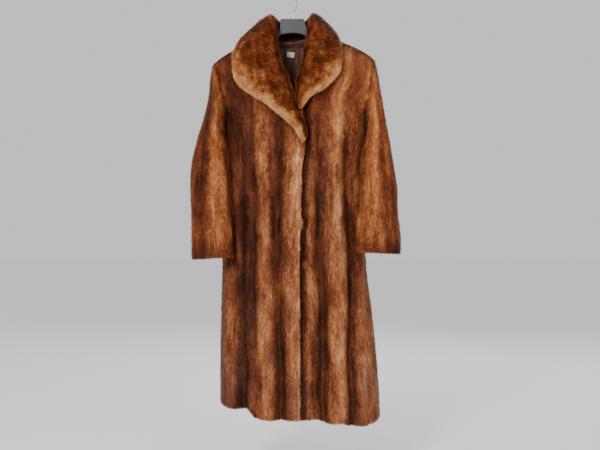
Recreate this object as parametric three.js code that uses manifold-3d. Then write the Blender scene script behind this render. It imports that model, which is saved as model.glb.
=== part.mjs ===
// A full-length fur coat with a wide shawl collar, hanging on a broad plastic hanger.
//
// Sizes are in millimetres. +X is to the viewer's right, +Y is away from the viewer and +Z is up, so the
// coat's front faces -Y. The origin is the point inside the top of the wire hook where a rail carries it.
// Left and right in the names below are the wearer's, so the right front is on the viewer's left.
import * as THREE from "three";
import { mergeVertices } from "three/addons/utils/BufferGeometryUtils.js";
import Module from "manifold-3d";

const wasm = await Module();
wasm.setup();

// Driving dimensions of the coat.
const furWall = 8; // hide and laid pile together
const seamGap = 0.3;
const innerSeamSpread = 5; // how many times wider a seam's gap is on the hide side
const midX = 14; // the coat's middle hangs a little to the right of the hook
const chestZ = -340; // the armpits' height
const hemZ = -1236;
const wraps = [
  { z: -1236, x: 26 },
  { z: -680, x: 38 },
  { z: -340, x: 48 },
]; // how far the left front runs on under the right one
const wrapInset = 11; // and how much deeper it lies there
const armholeHalfDepth = 56;
const neckMidX = -11;
const neckHalfWidth = 62;
const neckDrop = 22; // degrees that the back neckline stays short of the shoulder ridge
const liningThickness = 1.2;

// The body's plan at each height: its two sides, its depth before and behind the hook's plane, where the
// side seams run, and the exponent of its superellipse. The hanging sleeves press its sides back.
const bodySections = [
  { z: -1236, rightSide: -213, leftSide: 252, front: 98, back: 90, seamY: 4, round: 2.2 },
  { z: -1080, rightSide: -214, leftSide: 243, front: 96, back: 89, seamY: 5, round: 2.2 },
  { z: -920, rightSide: -211, leftSide: 228, front: 94, back: 87, seamY: 9, round: 2.1 },
  { z: -790, rightSide: -207, leftSide: 213, front: 92, back: 86, seamY: 17, round: 1.85 },
  { z: -640, rightSide: -204, leftSide: 209, front: 91, back: 85, seamY: 24, round: 1.65 },
  { z: -500, rightSide: -205, leftSide: 213, front: 91, back: 84, seamY: 24, round: 1.7 },
  { z: -400, rightSide: -204, leftSide: 214, front: 91, back: 83, seamY: 18, round: 1.9 },
  { z: -340, rightSide: -198, leftSide: 211, front: 91, back: 82, seamY: 4, round: 2.2 },
];

// The shoulder ridge, where the hanger carries the coat.
const ridgeLine = [
  { x: -231, z: -196 },
  { x: -216, z: -183 },
  { x: -170, z: -156 },
  { x: -113, z: -134 },
  { x: -73, z: -118 },
  { x: -11, z: -108 },
  { x: 51, z: -112 },
  { x: 101, z: -122 },
  { x: 150, z: -138 },
  { x: 195, z: -158 },
  { x: 224, z: -176 },
  { x: 236, z: -187 },
];
const shoulderTip = { right: ridgeLine[0], left: ridgeLine[ridgeLine.length - 1] };

// The front edges below the chest, and the necklines from there up to the shoulder ridge.
const rightEdge = [
  { z: -1236, x: 19 },
  { z: -780, x: 18 },
  { z: -660, x: 20 },
  { z: -500, x: 26 },
  { z: -430, x: 35 },
  { z: -340, x: 25 },
];
const necklines = [
  { up: 0, right: 25, left: -23 },
  { up: 0.18, right: 2, left: -8 },
  { up: 0.38, right: -34, left: 28 },
  { up: 0.6, right: -56, left: 42 },
  { up: 0.82, right: -69, left: 49 },
  { up: 1, right: -73, left: 51 },
];

// The valleys between the hanging folds. at gives a valley's X, and deep its depth, at the chest, at the
// cuffs' height and at the hem.
const foldHeights = { chest: -340, cuffs: -680, hem: -1236 };
const rightFrontFolds = [
  { at: { chest: -60, cuffs: -53, hem: -35 }, deep: { chest: 9, cuffs: 25, hem: 33 }, width: 13 },
  { at: { chest: -124, cuffs: -122, hem: -116 }, deep: { chest: 9, cuffs: 18, hem: 5 }, width: 11 },
  { at: { chest: -158, cuffs: -152, hem: -148 }, deep: { chest: 4, cuffs: 12, hem: 30 }, width: 12 },
];
const leftFrontFolds = [
  { at: { chest: 74, cuffs: 80, hem: 90 }, deep: { chest: 8, cuffs: 22, hem: 31 }, width: 12 },
  { at: { chest: 156, cuffs: 167, hem: 176 }, deep: { chest: 8, cuffs: 20, hem: 30 }, width: 12 },
];
const backFolds = [
  { at: { chest: -146, cuffs: -136, hem: -154 }, deep: { chest: 4, cuffs: 14, hem: 26 }, width: 13 },
  { at: { chest: -84, cuffs: -80, hem: -90 }, deep: { chest: 5, cuffs: 17, hem: 30 }, width: 14 },
  { at: { chest: -14, cuffs: -8, hem: -14 }, deep: { chest: 4, cuffs: 14, hem: 26 }, width: 13 },
  { at: { chest: 62, cuffs: 68, hem: 78 }, deep: { chest: 5, cuffs: 18, hem: 30 }, width: 14 },
  { at: { chest: 138, cuffs: 138, hem: 164 }, deep: { chest: 4, cuffs: 13, hem: 27 }, width: 13 },
];
// Points set on the crest of the fold before each valley, and past the last one.
const rightFrontCrests = [3, 2, 1, 1];
const leftFrontCrests = [2, 3, 1];
const backCrests = [1, 2, 2, 2, 2, 1];
const sideShares = [0.93, 0.975, 0.995, 1]; // of the half width, where the body turns to its side seam

// The hem's height along X. Each hanging fold reaches its own depth.
const hemLine = [
  { x: -213, z: -1200 },
  { x: -180, z: -1206 },
  { x: -136, z: -1208 },
  { x: -112, z: -1228 },
  { x: -60, z: -1235 },
  { x: 19, z: -1234 },
  { x: 70, z: -1231 },
  { x: 98, z: -1244 },
  { x: 145, z: -1246 },
  { x: 172, z: -1254 },
  { x: 215, z: -1256 },
  { x: 252, z: -1242 },
];
const hemReach = 0.22; // the share of the length over which the hem's line fades out upwards
const bodyRows = [0, 0.03, 0.09, 0.17, 0.26, 0.35, 0.44, 0.53, 0.62, 0.71, 0.8, 0.87, 0.94, 1];
const shoulderRows = [9, 20, 33, 47, 61, 76, 90]; // degrees up from the chest to the ridge

// A sleeve's sections from the armhole to the cuff: its outer and its inner side, half its depth from
// front to back, and the exponent of its outline, which is under 2 where a crease runs down its front.
const rightSleeveSections = [
  { outX: -231, outY: 0, outZ: -196, inX: -198, inY: 4, inZ: -340, half: 56, round: 2 },
  { outX: -244, outY: -2, outZ: -240, inX: -203, inY: 0, inZ: -357, half: 55, round: 2 },
  { outX: -250, outY: -6, outZ: -300, inX: -204, inY: -8, inZ: -379, half: 53, round: 2 },
  { outX: -264, outY: -12, outZ: -364, inX: -201, inY: -18, inZ: -408, half: 50, round: 1.9 },
  { outX: -282, outY: -18, outZ: -424, inX: -193, inY: -28, inZ: -446, half: 48, round: 1.8 },
  { outX: -297, outY: -24, outZ: -490, inX: -186, inY: -38, inZ: -500, half: 46, round: 1.75 },
  { outX: -302, outY: -29, outZ: -560, inX: -183, inY: -46, inZ: -564, half: 46, round: 1.7 },
  { outX: -299, outY: -33, outZ: -640, inX: -181, inY: -52, inZ: -640, half: 46, round: 1.7 },
  { outX: -298, outY: -36, outZ: -710, inX: -177, inY: -56, inZ: -706, half: 47, round: 1.75 },
  { outX: -297, outY: -38, outZ: -772, inX: -175, inY: -58, inZ: -764, half: 48, round: 1.85 },
];
const leftSleeveSections = [
  { outX: 236, outY: 0, outZ: -187, inX: 211, inY: 4, inZ: -340, half: 56, round: 2 },
  { outX: 249, outY: -2, outZ: -238, inX: 216, inY: 0, inZ: -357, half: 55, round: 2 },
  { outX: 259, outY: -6, outZ: -300, inX: 217, inY: -8, inZ: -379, half: 53, round: 2 },
  { outX: 269, outY: -12, outZ: -364, inX: 213, inY: -18, inZ: -408, half: 50, round: 1.9 },
  { outX: 281, outY: -18, outZ: -428, inX: 204, inY: -28, inZ: -448, half: 48, round: 1.9 },
  { outX: 292, outY: -24, outZ: -496, inX: 197, inY: -38, inZ: -504, half: 46, round: 1.85 },
  { outX: 302, outY: -29, outZ: -566, inX: 195, inY: -46, inZ: -568, half: 46, round: 1.85 },
  { outX: 303, outY: -33, outZ: -636, inX: 189, inY: -52, inZ: -634, half: 46, round: 1.85 },
  { outX: 310, outY: -36, outZ: -702, inX: 184, inY: -56, inZ: -696, half: 47, round: 1.85 },
  { outX: 311, outY: -38, outZ: -756, inX: 184, inY: -58, inZ: -750, half: 48, round: 1.9 },
];
const sleeveSides = 24;
const sleeveRings = 15;

// The collar's sections, from the foot of the right lapel round the back of the neck to the left point.
// in and out are its edges on the coat. Over is how far over the shoulder each lies, in degrees: 0 at the
// chest, 90 on the ridge and 180 on the back. rise is how far the stand lifts the roll at the neck, and
// thick is the folded fur itself.
const collarSections = [
  { inX: 33, inOver: -20, outX: 27, outOver: -23, rise: 0, thick: 9 },
  { inX: 31, inOver: -13, outX: 6, outOver: -14, rise: 0, thick: 18 },
  { inX: 18, inOver: -4, outX: -38, outOver: -4, rise: 0, thick: 22 },
  { inX: 5, inOver: 4, outX: -75, outOver: 4, rise: 0, thick: 24 },
  { inX: -7, inOver: 12, outX: -112, outOver: 11, rise: 0, thick: 25 },
  { inX: -22, inOver: 21, outX: -145, outOver: 19, rise: 0, thick: 26 },
  { inX: -36, inOver: 29, outX: -165, outOver: 30, rise: 1, thick: 26 },
  { inX: -46, inOver: 38, outX: -173, outOver: 44, rise: 4, thick: 26 },
  { inX: -52, inOver: 49, outX: -172, outOver: 58, rise: 12, thick: 26 },
  { inX: -55, inOver: 64, outX: -164, outOver: 73, rise: 27, thick: 25 },
  { inX: -56, inOver: 84, outX: -152, outOver: 90, rise: 37, thick: 24 },
  { inX: -50, inOver: 101, outX: -130, outOver: 110, rise: 40, thick: 24 },
  { inX: -36, inOver: 108, outX: -74, outOver: 134, rise: 41, thick: 24 },
  { inX: -11, inOver: 111, outX: -11, outOver: 141, rise: 41, thick: 24 },
  { inX: 20, inOver: 108, outX: 48, outOver: 135, rise: 41, thick: 24 },
  { inX: 41, inOver: 101, outX: 94, outOver: 118, rise: 39, thick: 24 },
  { inX: 45, inOver: 87, outX: 119, outOver: 92, rise: 36, thick: 24 },
  { inX: 43, inOver: 66, outX: 131, outOver: 68, rise: 26, thick: 25 },
  { inX: 40, inOver: 49, outX: 137, outOver: 50, rise: 12, thick: 26 },
  { inX: 33, inOver: 37, outX: 133, outOver: 35, rise: 4, thick: 26 },
  { inX: 25, inOver: 28, outX: 118, outOver: 25, rise: 1, thick: 26 },
  { inX: 15, inOver: 20, outX: 88, outOver: 16, rise: 0, thick: 25 },
  { inX: 10, inOver: 13, outX: 52, outOver: 10, rise: 0, thick: 22 },
  { inX: 10, inOver: 3, outX: 19, outOver: 1, rise: 0, thick: 14 },
];
const collarRings = 40;
const collarLift = 2.4; // the pile's clearance over the coat
const rollLean = { right: 0.36, left: 0.16 }; // of the rise, how far the roll leans in over the neck

// Driving dimensions of the hanger, and of the pill-shaped recess in its neck block.
const block = { topZ: -66, topLeft: -39, topRight: 31, footZ: -119, footLeft: -51, footRight: 43 };
const blockHalfDepth = 12;
const archHeight = 11;
const recess = { left: -32, right: 27, topZ: -72, height: 23, deep: 1.5 };
const arm = { neckHalfDepth: 9, tipHalfDepth: 16, neckDeep: 20, tipDeep: 11, steps: 18, across: 6 };
const armClear = { ridge: 0.6, edge: 2 }; // under the coat's shoulder
const armStarts = { right: -42, left: 34 };
const neckCorners = { right: -73, left: 51 }; // where the shoulders' walls begin
const armEnds = { right: -204, left: 210 };
const wire = { radius: 1.7, hookRadius: 18, turnedFromFront: 61, shankTopZ: -46 };

const labelClear = 3.8; // past the lining's seam, because the lining hangs in a little below it
const label = { x: -10, z: -158, width: 23, height: 16, thickness: 0.6, tilt: 8 };

const colours = {
  fur: 0x7a4422,
  collarFur: 0x8a5428,
  lining: 0x32201a,
  facing: 0x4a2418,
  label: 0xe9e4d6,
  plastic: 0x4a4b50,
  steel: 0xb9bcc0,
};

// A smooth curve through one column of a table, read at a value of another column.
function readTable(table, along, column, value) {
  const rows = table[0][along] < table[table.length - 1][along] ? table : [...table].reverse();
  const clamped = THREE.MathUtils.clamp(value, rows[0][along], rows[rows.length - 1][along]);
  let i = 0;
  while (i < rows.length - 2 && clamped > rows[i + 1][along]) i += 1;
  const slope = (k) => {
    const a = rows[Math.max(k - 1, 0)];
    const b = rows[Math.min(k + 1, rows.length - 1)];
    return (b[column] - a[column]) / (b[along] - a[along]);
  };
  const span = rows[i + 1][along] - rows[i][along];
  const t = (clamped - rows[i][along]) / span;
  const ease = 3 * t ** 2 - 2 * t ** 3;
  const between = rows[i][column] * (1 - ease) + rows[i + 1][column] * ease;
  return between + span * (slope(i) * (t ** 3 - 2 * t ** 2 + t) + slope(i + 1) * (t ** 3 - t ** 2));
}

function bodyAt(z) {
  const read = (column) => readTable(bodySections, "z", column, z);
  return {
    rightSide: read("rightSide"),
    leftSide: read("leftSide"),
    front: read("front"),
    back: read("back"),
    seamY: read("seamY"),
    round: read("round"),
  };
}

const ridgeAt = (x) => readTable(ridgeLine, "x", "z", x);
const radians = THREE.MathUtils.degToRad;

// A height on the coat. Below the chest it is how far down, in units of drop, and above it is the angle
// from the chest up over the shoulder ridge.
const drop = 228;
const climbOf = (x, z) =>
  z <= chestZ ? (z - chestZ) / drop : Math.asin(Math.min(1, (z - chestZ) / (ridgeAt(x) - chestZ)));

// A side's X at a height, which above the chest is the plane of its armhole.
function sideX(plan, side, up) {
  const chestSide = side === "right" ? plan.rightSide : plan.leftSide;
  return chestSide + (shoulderTip[side].x - chestSide) * up;
}

// The coat's smooth outer surface, with no folds. face is -1 on the front and 1 on the back.
function coatPoint(x, climb, face) {
  const zBelow = chestZ + Math.min(climb, 0) * drop;
  const plan = bodyAt(zBelow);
  const up = climb > 0 ? Math.sin(climb) : 0;
  const lean = climb > 0 ? Math.cos(climb) : 1;
  const edge = sideX(plan, x < midX ? "right" : "left", up);
  const share = THREE.MathUtils.clamp((x - midX) / (edge - midX), 0, 1);
  const bulge = (1 - share ** plan.round) ** (1 / plan.round);
  const roundArmhole = Math.sqrt(Math.max(0, 1 - (2 * up - 1) ** 2));
  const armholeY = face * armholeHalfDepth * roundArmhole * (1 - bulge) ** 2;
  const depth = face < 0 ? plan.front : plan.back;
  const y = face * depth * lean * bulge + plan.seamY * (1 - up) * (1 - bulge) + armholeY;
  const z = climb > 0 ? chestZ + (ridgeAt(x) - chestZ) * up : zBelow;
  return new THREE.Vector3(x, y, z);
}

function coatNormal(x, climb, face) {
  const acrossCoat = coatPoint(x + 1, climb, face).sub(coatPoint(x - 1, climb, face));
  const upCoat = coatPoint(x, climb + 0.01, face).sub(coatPoint(x, climb - 0.01, face));
  return acrossCoat.cross(upCoat).normalize().multiplyScalar(-face);
}

function foldX(fold, z) {
  const line = [
    { z: foldHeights.hem, x: fold.at.hem },
    { z: foldHeights.cuffs, x: fold.at.cuffs },
    { z: foldHeights.chest, x: fold.at.chest },
  ];
  return readTable(line, "z", "x", z);
}

function foldDepth(fold, z) {
  const line = [
    { z: foldHeights.hem, deep: fold.deep.hem },
    { z: foldHeights.cuffs, deep: fold.deep.cuffs },
    { z: foldHeights.chest, deep: fold.deep.chest },
  ];
  return readTable(line, "z", "deep", z);
}

// How far the folds push the surface in at a place.
function foldIn(folds, x, z) {
  let inwards = 0;
  for (const fold of folds) {
    inwards += foldDepth(fold, z) * Math.exp(-(((x - foldX(fold, z)) / fold.width) ** 2));
  }
  return inwards;
}

// The X of each column of a panel at a height, from its first edge to its last. Columns follow the
// valleys and the crests, so that a few of them draw each fold.
function columnsAt(panel, z) {
  const plan = bodyAt(z);
  const stops = [...panel.opening(z)];
  const { folds, crests } = panel;
  const lastShares = panel.lastSide ? sideShares : [];
  const lastX = (share) => midX + share * (sideX(plan, panel.lastSide, 0) - midX);
  folds.forEach((fold, i) => {
    const x = foldX(fold, z);
    const step = Math.sign(panel.direction) * fold.width;
    addCrests(stops, x - step, crests[i]);
    stops.push(x - step, x, x + step);
  });
  addCrests(stops, lastX(lastShares[0]), crests[folds.length]);
  for (const share of lastShares) stops.push(lastX(share));
  return stops;
}

function addCrests(stops, next, count) {
  const from = stops[stops.length - 1];
  for (let i = 1; i <= count; i += 1) stops.push(from + ((next - from) * i) / (count + 1));
}

// The outward direction of the body's plan at a column, along which a fold moves it.
function foldDirection(x, z, face) {
  const normal = coatNormal(x, (z - chestZ) / drop, face);
  normal.z = 0;
  return normal.normalize();
}

// A panel's outer points, in rows from the hem to the shoulder. Above the chest its columns spread
// evenly from the neckline to the armhole.
function panelGrid(panel) {
  const rows = [];
  const chestColumns = columnsAt(panel, chestZ);
  const chestFold = chestColumns.map((x) => panel.inwards(x, chestZ));
  for (const share of bodyRows) {
    const z = hemZ + (chestZ - hemZ) * share;
    const fade = Math.max(0, 1 - share / hemReach) ** 2;
    const row = columnsAt(panel, z).map((x) => {
      const climb = (z - chestZ) / drop;
      const point = coatPoint(x, climb, panel.face);
      point.addScaledVector(foldDirection(x, z, panel.face), -panel.inwards(x, z));
      point.z += (readTable(hemLine, "x", "z", x) - hemZ) * fade;
      return point;
    });
    rows.push(row);
  }
  const last = chestColumns.length - 1;
  for (const angle of shoulderRows) {
    const up = Math.sin(radians(angle));
    const [from, to] = panel.spanAbove(up);
    const chestFrom = chestColumns[0];
    const chestTo = chestColumns[last];
    const row = chestColumns.map((chestX, j) => {
      const chestShare = (chestX - chestFrom) / (chestTo - chestFrom);
      const share = THREE.MathUtils.lerp(chestShare, j / last, up ** 1.5);
      const x = from + (to - from) * share;
      const climb = radians(angle) * panel.topShare(x);
      const point = coatPoint(x, climb, panel.face);
      const normal = coatNormal(x, Math.min(climb, 1.5), panel.face);
      return point.addScaledVector(normal, -chestFold[j] * (1 - up));
    });
    rows.push(row);
  }
  return rows;
}

// Each grid point's outward direction, from its neighbours.
function gridNormals(rows, wraps) {
  const high = rows.length - 1;
  const wide = rows[0].length;
  const column = (j) => (wraps ? (j + wide) % wide : THREE.MathUtils.clamp(j, 0, wide - 1));
  return rows.map((row, i) =>
    row.map((point, j) => {
      const acrossRow = row[column(j + 1)].clone().sub(row[column(j - 1)]);
      const upColumn = rows[Math.min(i + 1, high)][j].clone().sub(rows[Math.max(i - 1, 0)][j]);
      return acrossRow.cross(upColumn).normalize();
    }),
  );
}

// A closed wall between an outer grid and an inner one of the same size.
function wallGeometry(outer, inner, wraps) {
  const high = outer.length;
  const wide = outer[0].length;
  const positions = [];
  for (const layer of [outer, inner]) {
    for (const row of layer) {
      for (const p of row) positions.push(p.x, p.y, p.z);
    }
  }
  const at = (layer, i, j) => (layer * high + i) * wide + (j % wide);
  const faces = [];
  const quad = (a, b, c, d) => faces.push(a, b, c, a, c, d);
  const spans = wraps ? wide : wide - 1;
  for (let i = 0; i < high - 1; i += 1) {
    for (let j = 0; j < spans; j += 1) {
      quad(at(0, i, j), at(0, i, j + 1), at(0, i + 1, j + 1), at(0, i + 1, j));
      quad(at(1, i, j), at(1, i + 1, j), at(1, i + 1, j + 1), at(1, i, j + 1));
    }
  }
  for (let j = 0; j < spans; j += 1) {
    quad(at(0, 0, j), at(1, 0, j), at(1, 0, j + 1), at(0, 0, j + 1));
    quad(at(0, high - 1, j), at(0, high - 1, j + 1), at(1, high - 1, j + 1), at(1, high - 1, j));
  }
  for (let i = 0; i < high - 1 && !wraps; i += 1) {
    quad(at(0, i, 0), at(0, i + 1, 0), at(1, i + 1, 0), at(1, i, 0));
    quad(at(0, i, wide - 1), at(1, i, wide - 1), at(1, i + 1, wide - 1), at(0, i + 1, wide - 1));
  }
  return facedOutwards(positions, faces);
}

// Geometry whose faces point out, whichever way round its grid ran.
function facedOutwards(positions, faces) {
  const corner = (i) => new THREE.Vector3().fromArray(positions, faces[i] * 3);
  let volume = 0;
  for (let i = 0; i < faces.length; i += 3) {
    volume += corner(i).dot(corner(i + 1).cross(corner(i + 2)));
  }
  if (volume < 0) {
    for (let i = 0; i < faces.length; i += 3) {
      [faces[i + 1], faces[i + 2]] = [faces[i + 2], faces[i + 1]];
    }
  }
  const geometry = new THREE.BufferGeometry();
  geometry.setAttribute("position", new THREE.Float32BufferAttribute(positions, 3));
  geometry.setIndex(faces);
  geometry.computeVertexNormals();
  return geometry;
}

function mesh(name, geometry, color, roughness, metalness = 0) {
  const made = new THREE.Mesh(geometry, new THREE.MeshStandardMaterial({ color, roughness, metalness }));
  made.name = name;
  return made;
}

// The outward normal of an armhole's plane.
function armholeNormal(side) {
  const tip = shoulderTip[side];
  const pitX = sideX(bodyAt(chestZ), side, 0);
  const along = new THREE.Vector3(tip.x - pitX, 0, tip.z - chestZ).normalize();
  const away = side === "right" ? -1 : 1;
  return new THREE.Vector3(along.z * away, 0, -along.x * away);
}

// The wall of a body panel. Its ends stay in the planes of the seams that it meets there.
function panelWall(panel) {
  const outer = panelGrid(panel);
  const normals = gridNormals(outer, false);
  const outward = panel.face * -panel.direction;
  const top = outer.length - 1;
  const last = outer[0].length - 1;
  const inner = outer.map((row, i) =>
    row.map((point, j) => {
      const normal = normals[i][j].clone().multiplyScalar(outward);
      const side = j === last ? panel.lastSide : j === 0 ? panel.firstSide : null;
      if (i === top || (side && i < bodyRows.length)) normal.y = 0;
      if (side && i >= bodyRows.length) {
        const out = armholeNormal(side);
        normal.addScaledVector(out, -normal.dot(out));
      }
      return point.clone().addScaledVector(normal.normalize(), -panel.thickness);
    }),
  );
  const shift = (panel.face * seamGap) / 2;
  outer.forEach((row) => row.forEach((point) => (point.y += shift)));
  inner.forEach((row) => row.forEach((point) => (point.y += shift * innerSeamSpread)));
  return wallGeometry(outer, inner, false);
}

const edgeAt = (z) => readTable(rightEdge, "z", "x", z);
const sideAbove = (side, up) => sideX(bodyAt(chestZ), side, up);

const rightFront = {
  face: -1,
  direction: -1,
  thickness: furWall,
  folds: rightFrontFolds,
  crests: rightFrontCrests,
  lastSide: "right",
  opening: (z) => [edgeAt(z), edgeAt(z) - 7],
  inwards: (x, z) => foldIn(rightFrontFolds, x, z),
  spanAbove: (up) => [readTable(necklines, "up", "right", up), sideAbove("right", up)],
  topShare: () => 1,
};

// The left front runs on under the right one's edge, and steps out again just past it.
const leftFront = {
  face: -1,
  direction: 1,
  thickness: furWall,
  folds: leftFrontFolds,
  crests: leftFrontCrests,
  lastSide: "left",
  opening: (z) => {
    const edge = edgeAt(z);
    const wrap = readTable(wraps, "z", "x", z);
    return [edge - wrap, edge - wrap / 2, edge - 2, edge + 7, edge + 15, edge + 24];
  },
  inwards: (x, z) => {
    const pastEdge = THREE.MathUtils.smoothstep(x, edgeAt(z) + 4, edgeAt(z) + 26);
    return foldIn(leftFrontFolds, x, z) + wrapInset * (1 - pastEdge);
  },
  spanAbove: (up) => [readTable(necklines, "up", "left", up), sideAbove("left", up)],
  topShare: () => 1,
};

// How much of the climb to the ridge the back takes at an X: all of it but for the scooped neckline.
function backTopShare(x) {
  const fromMiddle = (x - neckMidX) / neckHalfWidth;
  return 1 - (neckDrop / 90) * Math.sqrt(Math.max(0, 1 - fromMiddle ** 2));
}

const back = {
  face: 1,
  direction: 1,
  thickness: furWall,
  folds: backFolds,
  crests: backCrests,
  firstSide: "right",
  lastSide: "left",
  opening: (z) => {
    const plan = bodyAt(z);
    return [...sideShares].reverse().map((share) => midX + share * (plan.rightSide - midX));
  },
  inwards: (x, z) => foldIn(backFolds, x, z),
  spanAbove: (up) => [sideAbove("right", up), sideAbove("left", up)],
  topShare: backTopShare,
};

// One ring of a sleeve. It starts at the outer side and runs round by the front.
function sleeveRing(section) {
  const ring = [];
  const out = new THREE.Vector3(section.outX, section.outY, section.outZ);
  const inside = new THREE.Vector3(section.inX, section.inY, section.inZ);
  const centre = out.clone().lerp(inside, 0.5);
  const half = out.sub(centre);
  const power = 2 / section.round;
  for (let i = 0; i < sleeveSides; i += 1) {
    const angle = (2 * Math.PI * i) / sleeveSides;
    const along = Math.sign(Math.cos(angle)) * Math.abs(Math.cos(angle)) ** power;
    const forward = Math.sign(Math.sin(angle)) * Math.abs(Math.sin(angle)) ** power;
    const point = centre.clone().addScaledVector(half, along);
    point.y -= section.half * forward;
    ring.push(point);
  }
  return ring;
}

// A section between those of a table, at a share of the way through it.
function sectionAt(sections, share) {
  const numbered = sections.map((section, i) => ({ ...section, share: i / (sections.length - 1) }));
  const read = (column) => readTable(numbered, "share", column, share);
  return Object.fromEntries(Object.keys(sections[0]).map((column) => [column, read(column)]));
}

function sleeve(name, side, sections) {
  const out = armholeNormal(side);
  const rings = [];
  for (let i = 0; i < sleeveRings; i += 1) {
    rings.push(sleeveRing(sectionAt(sections, i / (sleeveRings - 1))));
  }
  rings[0].forEach((point) => point.addScaledVector(out, seamGap));
  const normals = gridNormals(rings, true);
  const outward = side === "right" ? -1 : 1;
  const inner = rings.map((ring, i) =>
    ring.map((point, j) => {
      const normal = normals[i][j].clone().multiplyScalar(outward);
      if (i === 0) normal.addScaledVector(out, -normal.dot(out)).normalize();
      return point.clone().addScaledVector(normal, -furWall);
    }),
  );
  return mesh(name, wallGeometry(rings, inner, true), colours.fur, 0.85);
}

// The collar's outline over the coat, as shares of the way from its inner edge to its outer one and of
// its height there. It starts on the coat at the neck and runs up over the roll and down to the edge.
const collarOutline = [
  { share: 0.06, height: 0 },
  { share: -0.05, height: 0.42 },
  { share: -0.02, height: 0.8 },
  { share: 0.1, height: 1 },
  { share: 0.3, height: 1.04 },
  { share: 0.52, height: 1 },
  { share: 0.74, height: 0.96 },
  { share: 0.92, height: 0.82 },
  { share: 1.01, height: 0.42 },
  { share: 0.95, height: 0 },
  { share: 0.7, height: 0 },
  { share: 0.4, height: 0 },
];

// A place on the coat and its outward direction, by the angle over the shoulder.
function overCoat(x, over) {
  const face = over > 90 ? 1 : -1;
  const climb = radians(over > 90 ? 180 - over : over);
  return { point: coatPoint(x, climb, face), normal: coatNormal(x, climb, face) };
}

function collarRing(section) {
  const { inX, inOver, outX, outOver, rise, thick } = section;
  const inwards = overCoat(inX, inOver).point.sub(overCoat(outX, outOver).point);
  inwards.z = 0;
  inwards.normalize();
  const leftward = THREE.MathUtils.smoothstep(inX, -40, 25);
  const lean = THREE.MathUtils.lerp(rollLean.right, rollLean.left, leftward);
  return collarOutline.map(({ share, height }) => {
    const onCoat = THREE.MathUtils.clamp(share, 0, 1);
    const x = inX + (outX - inX) * onCoat;
    const over = inOver + (outOver - inOver) * onCoat;
    const stand = rise * Math.sin(Math.PI * Math.max(onCoat, 0.03) ** 0.45);
    const { point, normal } = overCoat(x, over);
    point.addScaledVector(normal, collarLift + height * thick);
    point.x += (outX - inX) * (share - onCoat);
    point.z += height * stand;
    return point.addScaledVector(inwards, lean * rise * height ** 2 * (1 - onCoat) ** 2);
  });
}

function collar() {
  const rings = [];
  for (let i = 0; i < collarRings; i += 1) {
    rings.push(collarRing(sectionAt(collarSections, i / (collarRings - 1))));
  }
  const wide = collarOutline.length;
  const positions = rings.flat().flatMap((p) => [p.x, p.y, p.z]);
  const faces = [];
  for (let i = 0; i < rings.length - 1; i += 1) {
    for (let j = 0; j < wide; j += 1) {
      const next = (j + 1) % wide;
      const a = i * wide;
      const b = a + wide;
      faces.push(a + j, a + next, b + next, a + j, b + next, b + j);
    }
  }
  const lastRing = (rings.length - 1) * wide;
  for (let j = 1; j < wide - 1; j += 1) {
    faces.push(0, j + 1, j);
    faces.push(lastRing, lastRing + j, lastRing + j + 1);
  }
  return mesh("collar", facedOutwards(positions, faces), colours.collarFur, 0.8);
}

// A thin sheet inside the back panel, between two heights and two Xs.
function insideBack(name, sheet, colour, roughness) {
  const outer = [];
  const inner = [];
  for (let i = 0; i <= sheet.rows; i += 1) {
    const outerRow = [];
    const innerRow = [];
    for (let j = 0; j <= sheet.columns; j += 1) {
      const x = sheet.fromX + ((sheet.toX - sheet.fromX) * j) / sheet.columns;
      const topClimb = sheet.topClimb(x);
      const climb = topClimb + (sheet.footClimb(x) - topClimb) * (i / sheet.rows) ** 1.3;
      const z = chestZ + Math.min(climb, 0) * drop;
      const below = THREE.MathUtils.clamp(-climb, 0, 1);
      const fold = foldIn(backFolds, x, z) * (climb > 0 ? 1 - Math.sin(climb) : 1) + 8 * below;
      const normal = coatNormal(x, climb, 1);
      const clear = sheet.clear + (i > 0 ? sheet.slack : 0);
      const point = coatPoint(x, climb, 1).addScaledVector(normal, -furWall - fold - clear);
      outerRow.push(point);
      innerRow.push(point.clone().addScaledVector(normal, -sheet.thickness));
    }
    outer.push(outerRow);
    inner.push(innerRow);
  }
  return mesh(name, wallGeometry(outer, inner, false), colour, roughness);
}

const neckClimb = (x) => (Math.PI / 2) * backTopShare(x) - 0.02;
const facingFootZ = -141;
const facingFootClimb = (x) => climbOf(x, facingFootZ);

const neckFacing = {
  fromX: neckMidX - neckHalfWidth + 10,
  toX: neckMidX + neckHalfWidth - 10,
  rows: 3,
  columns: 10,
  clear: 2,
  slack: 0,
  thickness: liningThickness,
  topClimb: neckClimb,
  footClimb: facingFootClimb,
};

const backLining = {
  fromX: neckMidX - 84,
  toX: neckMidX + 92,
  rows: 14,
  columns: 14,
  clear: 2,
  slack: 2,
  thickness: liningThickness,
  topClimb: (x) => climbOf(x, facingFootZ - seamGap),
  footClimb: () => (hemZ + 40 - chestZ) / drop,
};

// The bare size label, sewn to the lining under the neck facing.
function sizeLabel() {
  const climb = climbOf(label.x, label.z);
  const normal = coatNormal(label.x, climb, 1);
  const lift = furWall + backLining.clear + liningThickness + labelClear + label.thickness / 2;
  const plate = mesh(
    "size_label",
    new THREE.BoxGeometry(label.width, label.thickness, label.height),
    colours.label,
    0.7,
  );
  plate.position.copy(coatPoint(label.x, climb, 1).addScaledVector(normal, -lift));
  plate.rotation.set(Math.atan2(normal.z, normal.y), radians(label.tilt), 0);
  return plate;
}

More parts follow.
